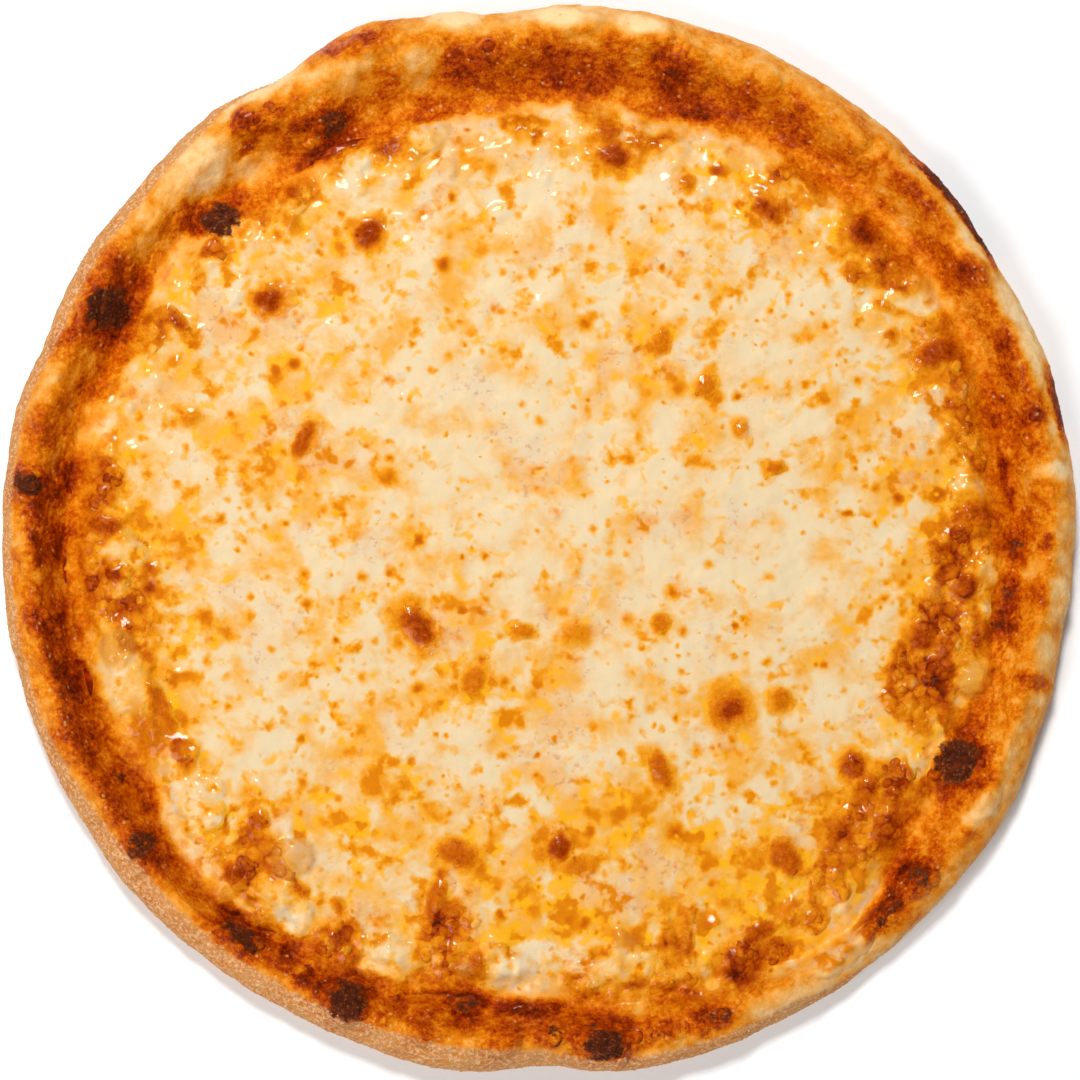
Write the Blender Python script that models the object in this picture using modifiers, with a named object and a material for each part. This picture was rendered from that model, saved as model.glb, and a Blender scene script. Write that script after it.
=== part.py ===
"""A thin round cheese pizza about 300 mm across: dough with a raised rim, tomato sauce and melted cheese.

Run with: blender --background --python part.py. Metres, +Z up, the origin under the middle of the base.
Angles are clock angles: degrees clockwise from the back (+Y), as seen from above.

Each layer is a turned profile. One function, hand_shaped, then stretches all three alike, so that they keep
their gaps: it gives the round its uneven outline, and its rim the width and height of each place.
"""

import math

import bmesh
import bpy
from mathutils import Vector, noise

MM = 0.001

# Driving dimensions of the mean round
PIZZA_RADIUS = 150.4 * MM
DOUGH_THICKNESS = 4.5 * MM  # under the sauce
RIM_HEIGHT = 14.5 * MM
RIM_WIDTH = 19 * MM  # from the outline in to the rim's foot
CREST_SETBACK = 8.5 * MM  # from the outline in to the rim's crest
WIDEST_HEIGHT = 5.5 * MM  # where the outer wall bulges furthest
UNDERSIDE_SETBACK = 5.5 * MM  # from the outline in to the flat underside
SAUCE_THICKNESS = 1.0 * MM
CHEESE_THICKNESS = 3.0 * MM
LAYER_GAP = 0.3 * MM  # between touching layers
FOOT_RADIUS = PIZZA_RADIUS - RIM_WIDTH
CREST_RADIUS = PIZZA_RADIUS - CREST_SETBACK
UNDERSIDE_RADIUS = PIZZA_RADIUS - UNDERSIDE_SETBACK

# How far up the rim's inner slope each layer reaches, as a share of the way from foot to crest
SAUCE_REACH = 0.4
CHEESE_REACH = 0.2
EDGE_SHARE = 0.5  # of a layer's thickness is left where it ends

# Fineness of the turned meshes
SPOKES = 120
WALL_STEPS = 5
UNDERSIDE_EDGE_STEPS = 3
SLOPE_SHARES = (0.2, 0.4, 0.6, 0.8)
FLAT_RINGS = (0.6,)  # rings on a level face, as shares of its radius
CHEESE_RINGS = (0.16, 0.33, 0.5, 0.66, 0.8, 0.91)
MERGE_DISTANCE = 0.01 * MM

# Swells of the hand-stretched round: (clock angle, half width in degrees, amount)
OUTLINE_SWELLS = (
    (355, 7, -2.8 * MM),
    (340, 5, 1.8 * MM),
    (330, 4, -2.8 * MM),
    (307, 6, -0.9 * MM),
    (292, 5, -1.5 * MM),
    (208, 9, -1.1 * MM),
    (180, 6, -3.0 * MM),
    (121, 6, 1.1 * MM),
    (103, 12, -2.0 * MM),
    (60, 4, -1.0 * MM),
    (22, 18, 0.5 * MM),
)
RIM_WIDTH_SWELLS = (
    (340, 16, 8.0 * MM),
    (8, 14, 6.5 * MM),
    (30, 9, 2.0 * MM),
    (120, 7, 3.5 * MM),
    (143, 11, -7.0 * MM),
    (185, 8, 1.5 * MM),
    (222, 9, -5.5 * MM),
    (255, 16, -2.0 * MM),
)
RIM_HEIGHT_SWELLS = (
    (345, 22, 1.6 * MM),
    (15, 14, 1.2 * MM),
    (62, 10, 1.2 * MM),
    (118, 8, 1.6 * MM),
    (144, 9, -3.2 * MM),
    (175, 10, 0.8 * MM),
    (215, 14, -1.8 * MM),
    (243, 10, 1.0 * MM),
    (283, 12, 1.4 * MM),
    (314, 7, -1.5 * MM),
)
# Bubbles blown up in the dough and the cheese: (clock angle, radius from the centre, half width, height)
DOUGH_BUBBLES = (
    (352, 137 * MM, 9 * MM, 2.2 * MM),
    (15, 138 * MM, 10 * MM, 2.2 * MM),
    (58, 140 * MM, 8 * MM, 1.6 * MM),
    (78, 139 * MM, 9 * MM, 1.8 * MM),
    (118, 134 * MM, 8 * MM, 2.4 * MM),
    (172, 141 * MM, 7 * MM, 2.6 * MM),
    (202, 139 * MM, 7 * MM, 2.2 * MM),
    (250, 139 * MM, 9 * MM, 1.8 * MM),
    (276, 141 * MM, 8 * MM, 2.0 * MM),
    (297, 137 * MM, 8 * MM, 2.4 * MM),
    (338, 143 * MM, 9 * MM, 2.4 * MM),
)
CHEESE_BUBBLES = (
    (11, 111 * MM, 8 * MM, 1.6 * MM),
    (46, 124 * MM, 9 * MM, 1.8 * MM),
    (107, 112 * MM, 11 * MM, 2.0 * MM),
    (130, 126 * MM, 10 * MM, 2.0 * MM),
    (154, 131 * MM, 9 * MM, 1.5 * MM),
    (217, 112 * MM, 10 * MM, 2.2 * MM),
    (253, 122 * MM, 12 * MM, 1.8 * MM),
    (234, 43 * MM, 9 * MM, 1.6 * MM),
)
CHEESE_WAVE_LENGTH = 30 * MM
CHEESE_WAVE_HEIGHT = 0.9 * MM
# The cheese's relief dies out between these shares of the foot's radius
RELIEF_FADES = (0.9, 1.05)

DOUGH_COLOR = (0.78, 0.43, 0.14, 1)
SAUCE_COLOR = (0.27, 0.03, 0.005, 1)
CHEESE_COLOR = (0.87, 0.62, 0.30, 1)


def swollen(clock, mean, swells):
    """A mean size with each swell added where this clock angle is near it."""
    size = mean
    for centre, half_width, amount in swells:
        away = (clock - centre + 180) % 360 - 180
        size += amount * math.exp(-((away / half_width) ** 2))
    return size


def smooth(share):
    """Rises from 0 to 1 with level ends."""
    share = min(max(share, 0), 1)
    return share * share * (3 - 2 * share)


def slope_height(share):
    """Height of the dough's inner slope, share of the way from the foot to the crest."""
    return DOUGH_THICKNESS + (RIM_HEIGHT - DOUGH_THICKNESS) * smooth(share)


def slope_radius(share):
    return FOOT_RADIUS + (CREST_RADIUS - FOOT_RADIUS) * share


def dough_profile():
    """(radius, height) points of the mean dough, from the top's middle over the rim to the base's middle."""
    points = [(0, DOUGH_THICKNESS)]
    points += [(FOOT_RADIUS * ring, DOUGH_THICKNESS) for ring in FLAT_RINGS + (1,)]
    points += [(slope_radius(share), slope_height(share)) for share in SLOPE_SHARES]
    for step in range(WALL_STEPS + 1):
        turn = math.radians(90) * step / WALL_STEPS
        radius = CREST_RADIUS + CREST_SETBACK * math.sin(turn)
        height = WIDEST_HEIGHT + (RIM_HEIGHT - WIDEST_HEIGHT) * math.cos(turn)
        points.append((radius, height))
    for step in range(1, UNDERSIDE_EDGE_STEPS + 1):
        turn = math.radians(90) * step / UNDERSIDE_EDGE_STEPS
        radius = UNDERSIDE_RADIUS + UNDERSIDE_SETBACK * math.cos(turn)
        points.append((radius, WIDEST_HEIGHT * (1 - math.sin(turn))))
    points += [(UNDERSIDE_RADIUS * ring, 0) for ring in FLAT_RINGS]
    return points + [(0, 0)]


def layer_profile(bottom_lift, thickness, reach, rings):
    """A layer lying bottom_lift above the dough, thinned out where it ends, reach of the way up the slope."""
    flat_bottom = DOUGH_THICKNESS + bottom_lift
    slope = [share for share in SLOPE_SHARES if share <= reach]
    bottom = [(FOOT_RADIUS, flat_bottom)]
    bottom += [(slope_radius(share), slope_height(share) + bottom_lift) for share in slope]
    edge_radius, edge_height = bottom[-1]
    top = [(0, flat_bottom + thickness)]
    top += [(FOOT_RADIUS * ring, flat_bottom + thickness) for ring in rings]
    top += [(FOOT_RADIUS, flat_bottom + thickness)]
    top += [(slope_radius(share), slope_height(share) + bottom_lift + thickness) for share in slope[:-1]]
    top += [(edge_radius, edge_height + thickness * EDGE_SHARE)]
    bottom = [(FOOT_RADIUS * ring, flat_bottom) for ring in FLAT_RINGS] + bottom
    return top + bottom[::-1] + [(0, flat_bottom)]


def turned(name, profile):
    """A closed mesh of the profile, turned about the Z axis by a Screw modifier."""
    outline = bpy.data.meshes.new(name)
    edges = [(i, i + 1) for i in range(len(profile) - 1)]
    outline.from_pydata([(radius, 0, height) for radius, height in profile], edges, [])
    guide = bpy.data.objects.new(name + "_profile", outline)
    bpy.context.scene.collection.objects.link(guide)
    screw = guide.modifiers.new("Turn", "SCREW")
    screw.steps = screw.render_steps = SPOKES
    screw.use_merge_vertices = True
    screw.merge_threshold = MERGE_DISTANCE
    bpy.context.view_layer.update()
    graph = bpy.context.evaluated_depsgraph_get()
    mesh = bpy.data.meshes.new_from_object(guide.evaluated_get(graph))
    bpy.data.objects.remove(guide)
    bm = bmesh.new()
    bm.from_mesh(mesh)
    bmesh.ops.remove_doubles(bm, verts=bm.verts, dist=MERGE_DISTANCE)
    bm.to_mesh(mesh)
    bm.free()
    return mesh


def polar(point):
    """(clock angle in degrees, radius) of a point."""
    return math.degrees(math.atan2(point.x, point.y)) % 360, math.hypot(point.x, point.y)


def at(clock, radius, height):
    return Vector((radius * math.sin(math.radians(clock)), radius * math.cos(math.radians(clock)), height))


def hand_shaped(point):
    """Where a point of the mean round goes in the uneven one."""
    clock, radius = polar(point)
    outline = swollen(clock, PIZZA_RADIUS, OUTLINE_SWELLS)
    foot = outline - swollen(clock, RIM_WIDTH, RIM_WIDTH_SWELLS)
    crest = outline - CREST_SETBACK
    knots = ((0, 0), (FOOT_RADIUS, foot), (CREST_RADIUS, crest), (PIZZA_RADIUS, outline))
    for (start, new_start), (end, new_end) in zip(knots, knots[1:]):
        if radius <= end or end == PIZZA_RADIUS:
            new_radius = new_start + (radius - start) * (new_end - new_start) / (end - start)
            break
    rise = swollen(clock, RIM_HEIGHT, RIM_HEIGHT_SWELLS) - DOUGH_THICKNESS
    stretch = rise / (RIM_HEIGHT - DOUGH_THICKNESS)
    share = smooth((radius - FOOT_RADIUS) / (CREST_RADIUS - FOOT_RADIUS))
    above = max(point.z - DOUGH_THICKNESS, 0)
    return at(clock, new_radius, point.z + above * (stretch - 1) * share)


def bubble_height(point, bubbles):
    """How high these bubbles lift a point of the top."""
    height = 0
    for clock, radius, half_width, rise in bubbles:
        centre = at(clock, radius, 0)
        away = math.hypot(point.x - centre.x, point.y - centre.y) / half_width
        height += rise * math.exp(-(away**2))
    return height


def facing_up(normal):
    """0 on the wall and below, 1 on a level top."""
    return smooth(normal.z)


def dough_relief(mean_point, place, normal):
    """Bubbles in the rim, from where the sauce ends and upward."""
    sauce_edge = slope_radius(SAUCE_REACH)
    past_sauce = (polar(mean_point)[1] - sauce_edge) / (CREST_RADIUS - sauce_edge)
    return bubble_height(place, DOUGH_BUBBLES) * facing_up(normal) * smooth(past_sauce)


def cheese_relief(mean_point, place, normal):
    """Bubbles and waves on the cheese's top, dying out towards its edge."""
    waves = noise.noise(place / CHEESE_WAVE_LENGTH) * CHEESE_WAVE_HEIGHT
    start, end = RELIEF_FADES
    inside_edge = 1 - smooth((polar(mean_point)[1] / FOOT_RADIUS - start) / (end - start))
    return (bubble_height(place, CHEESE_BUBBLES) + waves) * facing_up(normal) * inside_edge


def layer(name, profile, relief, color, roughness):
    """One layer of the pizza: turned, stretched by hand_shaped, its top lifted by relief, with its material."""
    mesh = turned(name, profile)
    normals = [vertex.normal.copy() for vertex in mesh.vertices]
    for vertex, normal in zip(mesh.vertices, normals):
        place = hand_shaped(vertex.co)
        if relief:
            place.z += relief(vertex.co, place, normal)
        vertex.co = place
    mesh.shade_smooth()
    material = bpy.data.materials.new(name)
    material.use_nodes = True
    shader = material.node_tree.nodes["Principled BSDF"]
    shader.inputs["Base Color"].default_value = color
    shader.inputs["Roughness"].default_value = roughness
    shader.inputs["Metallic"].default_value = 0
    mesh.materials.clear()
    mesh.materials.append(material)
    made = bpy.data.objects.new(name, mesh)
    pizza.objects.link(made)
    return made


for old in list(bpy.data.objects):
    bpy.data.objects.remove(old)
pizza = bpy.data.collections.new("margherita_pizza")
bpy.context.scene.collection.children.link(pizza)

sauce_lift = LAYER_GAP
cheese_lift = sauce_lift + SAUCE_THICKNESS + LAYER_GAP
layer("crust", dough_profile(), dough_relief, DOUGH_COLOR, 0.75)
layer("sauce", layer_profile(sauce_lift, SAUCE_THICKNESS, SAUCE_REACH, FLAT_RINGS), None, SAUCE_COLOR, 0.35)
layer(
    "cheese",
    layer_profile(cheese_lift, CHEESE_THICKNESS, CHEESE_REACH, CHEESE_RINGS),
    cheese_relief,
    CHEESE_COLOR,
    0.4,
)
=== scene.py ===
# %% [markdown]
# # A margherita pizza, baked on a hot stone
#
# The real thing is three layers: a dough base with a raised rim, a thin layer of tomato sauce, and
# mozzarella that has melted into one sheet over it. The frame that we load below has those layers
# as plain solids at their true size. This lesson gives each one a fine surface: the rim's bubbles
# and burnt blisters, the glossy cheese with its oil spots, and the flour on the outside of the
# crust.

# %% Load the frame
import math

import bmesh
import bpy
import numpy as np
from mathutils import Matrix, Vector, noise


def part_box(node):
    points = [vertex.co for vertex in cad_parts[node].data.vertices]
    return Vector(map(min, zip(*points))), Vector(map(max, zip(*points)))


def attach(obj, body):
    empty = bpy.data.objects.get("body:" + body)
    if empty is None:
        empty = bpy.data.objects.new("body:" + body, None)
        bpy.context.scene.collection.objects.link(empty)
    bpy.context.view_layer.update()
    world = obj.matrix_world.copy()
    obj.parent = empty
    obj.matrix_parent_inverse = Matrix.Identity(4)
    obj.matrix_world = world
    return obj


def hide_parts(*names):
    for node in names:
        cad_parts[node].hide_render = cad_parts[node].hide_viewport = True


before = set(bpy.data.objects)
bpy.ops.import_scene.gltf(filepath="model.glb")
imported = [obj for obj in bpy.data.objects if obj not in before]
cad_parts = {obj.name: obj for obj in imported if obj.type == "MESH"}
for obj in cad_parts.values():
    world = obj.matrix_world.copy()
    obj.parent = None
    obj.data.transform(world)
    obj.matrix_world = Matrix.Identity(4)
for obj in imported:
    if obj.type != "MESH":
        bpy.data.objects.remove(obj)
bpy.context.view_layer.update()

crust_low, crust_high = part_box("crust")
print("layers in the frame:", sorted(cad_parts))

# %% [markdown]
# ## The round, stretched by hand
#
# A pizza is a turned shape that two hands have pulled uneven. We could draw its outline as a long
# list of points, but then nobody could say what any one of them is for. So we start from a true
# round and add swells: each says where around the clock the round is wider, narrower or higher than
# its mean, and a bell curve fades it out. We work in millimetres and in clock angles, degrees
# clockwise from the back.

# %% Sizes of the mean round, in millimetres
MM = 0.001
PIZZA_RADIUS = (crust_high.x - crust_low.x) / 2 / MM
DOUGH_THICKNESS = 4.5
RIM_HEIGHT = 14.5
RIM_WIDTH = 19  # from the outline in to the rim's foot
CREST_SETBACK = 8.5  # from the outline in to the rim's crest
WIDEST_HEIGHT = 5.5  # where the outer wall bulges furthest
UNDERSIDE_SETBACK = 5.5  # from the outline in to the flat underside
FOOT_RADIUS = PIZZA_RADIUS - RIM_WIDTH
CREST_RADIUS = PIZZA_RADIUS - CREST_SETBACK
UNDERSIDE_RADIUS = PIZZA_RADIUS - UNDERSIDE_SETBACK
SAUCE_THICKNESS = 1.2
CHEESE_THICKNESS = 3.0
print(f"mean radius {PIZZA_RADIUS:.1f} mm, rim {crust_high.z / MM:.1f} mm high at most")

# Swells: (clock angle, half width in degrees, millimetres)
OUTLINE_SWELLS = (
    (355, 7, -2.8),
    (340, 5, 1.8),
    (330, 4, -2.8),
    (307, 6, -0.9),
    (292, 5, -1.5),
    (208, 9, -1.1),
    (180, 6, -3.0),
    (121, 6, 1.1),
    (103, 12, -2.0),
    (60, 4, -1.0),
    (22, 18, 0.5),
)
RIM_WIDTH_SWELLS = (
    (340, 16, 8.0),
    (8, 14, 6.5),
    (30, 9, 2.0),
    (120, 7, 3.5),
    (143, 11, -7.0),
    (185, 8, 1.5),
    (222, 9, -5.5),
    (255, 16, -2.0),
)
RIM_HEIGHT_SWELLS = (
    (345, 22, 1.6),
    (15, 14, 1.2),
    (62, 10, 1.2),
    (118, 8, 1.6),
    (144, 9, -3.2),
    (175, 10, 0.8),
    (215, 14, -1.8),
    (243, 10, 1.0),
    (283, 12, 1.4),
    (314, 7, -1.5),
)


def swollen(clock, mean, swells):
    """A mean size with each swell added where the clock angle is near it."""
    size = np.full(np.shape(clock), float(mean))
    for centre, half_width, amount in swells:
        away = (clock - centre + 180) % 360 - 180
        size += amount * np.exp(-((away / half_width) ** 2))
    return size


def smooth(share):
    """Rises from 0 to 1 with level ends."""
    share = np.clip(share, 0, 1)
    return share * share * (3 - 2 * share)


def rim_places(clock):
    """The rim's foot, crest and outline radius, and its height, at each clock angle."""
    outline = swollen(clock, PIZZA_RADIUS, OUTLINE_SWELLS)
    foot = outline - swollen(clock, RIM_WIDTH, RIM_WIDTH_SWELLS)
    return foot, outline - CREST_SETBACK, outline, swollen(clock, RIM_HEIGHT, RIM_HEIGHT_SWELLS)


def smooth_dough_height(clock, radius):
    """Height of the dough's top before it bubbled: level, up the inner slope, over the wall."""
    foot, crest, outline, height = rim_places(clock)
    slope = DOUGH_THICKNESS + (height - DOUGH_THICKNESS) * smooth((radius - foot) / (crest - foot))
    over = np.clip((radius - crest) / (outline - crest), 0, 1)
    wall = WIDEST_HEIGHT + (height - WIDEST_HEIGHT) * np.sqrt(1 - over**2)
    return np.where(radius < crest, slope, wall)


# %% [markdown]
# ## Clouds and patches
#
# A few helpers give every uneven thing on this pizza. `clouds` is Perlin noise with lumps of a
# stated size in millimetres, and `cobbles` packs round lumps like foam. `patches` draws named
# blemishes, and `domes` blows bubbles: each row has a place, a length along the rim, a width across
# it and an amount. `wandered` first pushes the points about with clouds, so that no blemish is a
# clean oval. Sculpting by hand could do all this too, but a rule with a seed gives the same pizza
# each time and can be changed one number at a time.

# %% Clouds and patches
CLOUD_SHIFT = (31.7, 17.3, 5.9)  # far enough apart that no two seeds look alike
CELL_DICE = 9  # spreads the cells' centres, so that each rolls a height of its own
LUMP_REACH = 0.8  # radius of a lump, as a share of its cell


def clouds(points, size, octaves=3, seed=0):
    """Noise of about -1 to 1 at each (x, y, z) in millimetres, with lumps of this size."""
    shift = Vector(CLOUD_SHIFT) * seed
    places = (Vector(point) / size + shift for point in points.tolist())
    return np.array([noise.fractal(place, 1, 2, octaves) for place in places])


def wandered(points, size, reach, seed):
    """The points pushed about by up to about reach millimetres, in swirls of this size."""
    moved = points.copy()
    moved[:, 0] += reach * clouds(points, size, 3, seed)
    moved[:, 1] += reach * clouds(points, size, 3, seed + 1)
    return moved


def cobbles(points, size, seed=0):
    """Round-topped lumps of about this size, packed like foam, each 0.4 to 1 high."""
    shift = Vector(CLOUD_SHIFT) * seed
    field = []
    for point in points.tolist():
        distances, centres = noise.voronoi(Vector(point) / size + shift)
        own_height = 0.7 + 0.3 * noise.cell(centres[0] * CELL_DICE)
        field.append(own_height * math.sqrt(max(0, 1 - (distances[0] / LUMP_REACH) ** 2)))
    return np.array(field)


def turned_to(points, clock):
    """How far each point lies along the rim and across it at this clock angle."""
    sine, cosine = math.sin(math.radians(clock)), math.cos(math.radians(clock))
    along = points[:, 0] * cosine - points[:, 1] * sine
    across = points[:, 0] * sine + points[:, 1] * cosine
    return along, across


def patch_distance(points, clock, radius, length, width):
    """Distance from the middle of an oval patch, 1 at its edge."""
    along, across = turned_to(points, clock)
    return np.hypot(along / (length / 2), (across - radius) / (width / 2))


def patches(points, rows, softness=0.45):
    """The strongest amount of any of the patches at each point."""
    field = np.zeros(len(points))
    for clock, radius, length, width, amount in rows:
        distance = patch_distance(points, clock, radius, length, width)
        share = smooth((1 + softness - distance) / (2 * softness))
        field = np.where(abs(amount * share) > abs(field), amount * share, field)
    return field


def domes(points, rows, steepness=0.5):
    """Height of the tallest of the blown-up bubbles at each point; rows end with their height."""
    field = np.zeros(len(points))
    for clock, radius, length, width, height in rows:
        distance = patch_distance(points, clock, radius, length, width)
        field = np.maximum(field, height * np.clip(1 - distance**2, 0, 1) ** steepness)
    return field


# %% [markdown]
# ## Where the oven burnt it
#
# Heat reaches the rim first. Its blisters char, the band next to the sauce roasts deep brown, and
# hollows stay pale. Noise alone would scatter such marks anywhere, and a painted image would blur
# close up. Rows of marks keep the ones that make this pizza this one, and the noise in each
# material roughens their edges.

# %% Marks on the rim: (clock angle, radius, length along, width across, amount)
ROASTED = (
    (3, 130, 34, 14, 0.34), (15, 134.5, 15, 12, 0.5), (18, 128, 26, 9, 0.4),
    (19, 147, 18, 6, 0.2), (24.5, 134, 9, 9, 0.32), (31, 134, 15, 11, 0.2),
    (36, 146, 20, 4, 0.16), (47, 141, 20, 5, 0.3), (54, 137, 12, 4, 0.24),
    (58.5, 140, 10, 12, 0.38), (69, 139, 30, 5, 0.32), (76, 141, 9, 8, 0.34),
    (75, 133, 18, 6, 0.24), (83, 131, 14, 4, 0.42), (88, 124, 20, 12, 0.34),
    (91, 140, 4, 5, 0.55), (100, 130.5, 22, 4, 0.45), (106.5, 143, 5, 8, 0.4),
    (125, 144, 4, 8, 0.22), (132.5, 139.5, 8, 9, 0.5), (150, 125, 12, 4, 0.3),
    (176, 138, 12, 12, 0.34), (182, 131, 20, 5, 0.5), (193, 138, 10, 10, 0.2),
    (197, 137, 9, 7, 0.25), (208, 139, 15, 3.5, 0.5), (211.5, 134, 6, 9, 0.42),
    (237, 139, 16, 8, 0.26), (238, 131, 16, 10, 0.24), (246, 139, 22, 9, 0.32),
    (253, 137, 18, 7, 0.5), (259, 139, 22, 8, 0.42), (269, 137, 14, 7, 0.45),
    (272, 141, 9, 7, 0.4), (277, 133, 8, 7, 0.48), (282, 142, 14, 8, 0.3), (292, 143, 8, 7, 0.4),
    (300, 131, 16, 9, 0.34), (302, 141, 9, 11, 0.38), (312, 132, 7, 10, 0.36),
    (324, 142, 10, 7, 0.5), (322, 136, 8, 3, 0.4), (328, 133, 9, 8, 0.26), (331, 124, 24, 4, 0.5),
    (339, 146, 24, 7, 0.4), (341, 134, 7, 6, 0.24), (352, 132, 18, 13, 0.42),
    (347, 124, 16, 7, 0.22),
)  # fmt: skip
PALE = (
    (2, 144.5, 14, 7, -0.34), (11, 144, 13, 7, -0.36), (37, 141, 14, 8, -0.06),
    (50, 145, 18, 4, -0.12), (56, 145.5, 14, 6, -0.26), (65, 145.5, 34, 6, -0.34),
    (83, 142, 4, 13, -0.36), (97, 145, 10, 7, -0.22), (103, 143, 7, 8, -0.16),
    (112, 143, 16, 8, -0.1), (122, 142.5, 10, 7, -0.26), (144, 144, 9, 12, -0.22),
    (152, 143.5, 26, 8, -0.22), (180, 143, 18, 5, -0.12), (222, 142.5, 24, 5, -0.12),
    (287, 142.5, 12, 5, -0.08), (307, 139, 16, 14, -0.14), (316, 138, 20, 14, -0.44),
    (322, 131, 13, 8, -0.3), (328, 146.5, 24, 6, -0.34), (336, 137, 10, 8, -0.14),
    (345, 135.5, 10, 9, -0.2), (337, 142, 22, 7, -0.2), (350, 146.5, 14, 6, -0.36),
)  # fmt: skip
CHARRED = (
    (14.5, 133, 13, 5, 0.6), (91, 133, 7, 3, 0.7), (97, 131, 6, 3, 0.8), (101, 129, 4, 4, 0.7),
    (118.8, 130.8, 15, 12, 1.0), (132.5, 140.5, 6, 7, 0.8), (138, 141.2, 13, 3.5, 0.85),
    (161, 140.5, 12, 3, 0.75), (168, 140.5, 12, 2.5, 0.6), (173.3, 141, 13, 10, 1.0),
    (178.8, 137, 4, 5, 0.8), (184.9, 138, 8, 6, 0.5), (189.5, 131, 9, 5, 0.8),
    (202.9, 139, 12, 12, 1.0), (216.8, 138, 14, 6, 0.95), (232, 139.5, 9, 8, 0.9),
    (240.5, 135, 4, 5, 0.7), (246, 145, 7, 2.5, 0.6), (275.2, 142.3, 7, 10, 1.0),
    (291, 143, 4, 4, 0.6), (297.4, 136, 14, 11, 1.0), (314.2, 126, 13, 11, 1.0),
    (326.5, 137, 4, 4, 0.5), (333, 129, 9, 6, 0.85),
)  # fmt: skip

print(f"{len(ROASTED)} roasted, {len(PALE)} pale and {len(CHARRED)} charred marks")

# %% [markdown]
# ## Blisters in the dough
#
# Yeast and steam blow up the soft skin of the rim into blisters a centimetre wide. They are real
# bulges that cast shadows and break the outline, so they are domes in the mesh and not a bump in
# the material.

# %% Blisters in the dough: (clock angle, radius, length along, width across, height)
DOUGH_BLISTERS = (
    (350, 146, 15, 9, 1.4), (3, 144, 18, 11, 1.8), (12, 143, 14, 11, 1.5), (17, 136, 16, 13, 1.8),
    (25, 140, 13, 12, 1.4), (36, 141, 18, 14, 1.5), (48, 143, 17, 12, 1.3),
    (58, 141, 14, 14, 1.6), (70, 142, 20, 12, 1.5), (84, 141, 13, 13, 1.3),
    (97, 142, 18, 12, 1.2), (107, 142, 13, 12, 1.3), (119, 131, 17, 14, 2.2),
    (121, 143, 12, 9, 1.4), (133, 141, 12, 9, 1.6), (150, 143, 22, 10, 1.0),
    (173.3, 141, 15, 12, 2.4), (185, 138, 11, 10, 1.7), (193, 138, 11, 11, 1.9),
    (202.9, 139, 13, 13, 2.2), (217, 138, 16, 8, 1.6), (232, 139, 11, 12, 1.6),
    (239, 137, 15, 14, 1.3), (247, 142, 16, 11, 1.5), (258, 141, 17, 12, 1.5),
    (267, 140, 12, 12, 1.3), (275, 142, 11, 12, 2.0), (284, 141, 15, 11, 1.4),
    (297, 137, 16, 14, 2.2), (303, 142, 11, 12, 1.4), (314, 128, 12, 10, 1.8),
    (324, 142, 12, 11, 1.7), (333, 131, 13, 10, 1.8), (336, 139, 13, 11, 1.4),
    (341, 146, 18, 11, 1.9), (345, 136, 15, 10, 1.4), (354, 134, 14, 12, 1.5),
)  # fmt: skip

print(f"{len(DOUGH_BLISTERS)} blisters, up to {max(row[4] for row in DOUGH_BLISTERS)} mm high")

# %% [markdown]
# ## Colours and nodes
#
# Colours are written as the hex values that a screen shows and turned to linear light by one
# function. One more function adds any node, with its settings and its links, so that a material
# reads from top to bottom.
#
# Where a node's sockets share a name, a number picks one. Map Range takes a value as 0, the range
# it comes from as 1 and 2 and the range it goes to as 3 and 4. Mix takes its share as 0 and mixes
# the numbers 2 and 3, or the colours 6 and 7. Multiply Add gives 0 times 1, plus 2.

# %% Colours and nodes
MATH = "ShaderNodeMath"
VECTOR = "ShaderNodeVectorMath"
NOISE = "ShaderNodeTexNoise"
CELLS = "ShaderNodeTexVoronoi"
RANGE = "ShaderNodeMapRange"
MIX = "ShaderNodeMix"
RAMP = "ShaderNodeValToRGB"
SMOOTH = {"interpolation_type": "SMOOTHSTEP"}
COLOR = {"data_type": "RGBA", "output": 2}


def rgb(code):
    """A linear colour from an sRGB hex code."""
    shares = [int(code[i : i + 2], 16) / 255 for i in (1, 3, 5)]
    return [((s + 0.055) / 1.055) ** 2.4 if s > 0.04045 else s / 12.92 for s in shares] + [1]


def add(tree, kind, inputs=None, output=0, stops=(), **settings):
    """Adds a node with its settings and links, and returns one of its outputs.

    An input is a value or another node's output. A ramp also takes (place, hex colour) stops.
    """
    node = tree.nodes.new(kind)
    for name, value in settings.items():
        setattr(node, name, value)
    for key, value in (inputs or {}).items():
        if isinstance(value, bpy.types.NodeSocket):
            tree.links.new(value, node.inputs[key])
        else:
            node.inputs[key].default_value = value
    for index, (place, code) in enumerate(stops):
        elements = node.color_ramp.elements
        element = elements[index] if index < len(elements) else elements.new(place)
        element.position, element.color = place, rgb(code)
    return node.outputs[output] if node.outputs else None


def per_mm(size):
    """The scale that gives a texture lumps of this many millimetres on Object coordinates."""
    return 1 / (size * MM)


def new_material(name, attributes=()):
    """A material, its tree, its shader, its Object coordinates and the named values of the mesh."""
    material = bpy.data.materials.new(name)
    material.use_nodes = True
    tree = material.node_tree
    where = add(tree, "ShaderNodeTexCoord", output="Object")
    kind = "ShaderNodeAttribute"
    values = [add(tree, kind, output="Fac", attribute_name=value) for value in attributes]
    return material, tree, tree.nodes["Principled BSDF"], where, *values


def set_all_over(shader, **values):
    """Sets the shader's own sockets, for what is the same all over the surface."""
    for name, value in values.items():
        shader.inputs[name.replace("_", " ")].default_value = value


print("cream in linear light:", [round(share, 3) for share in rgb("#F2CE96")])

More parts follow.
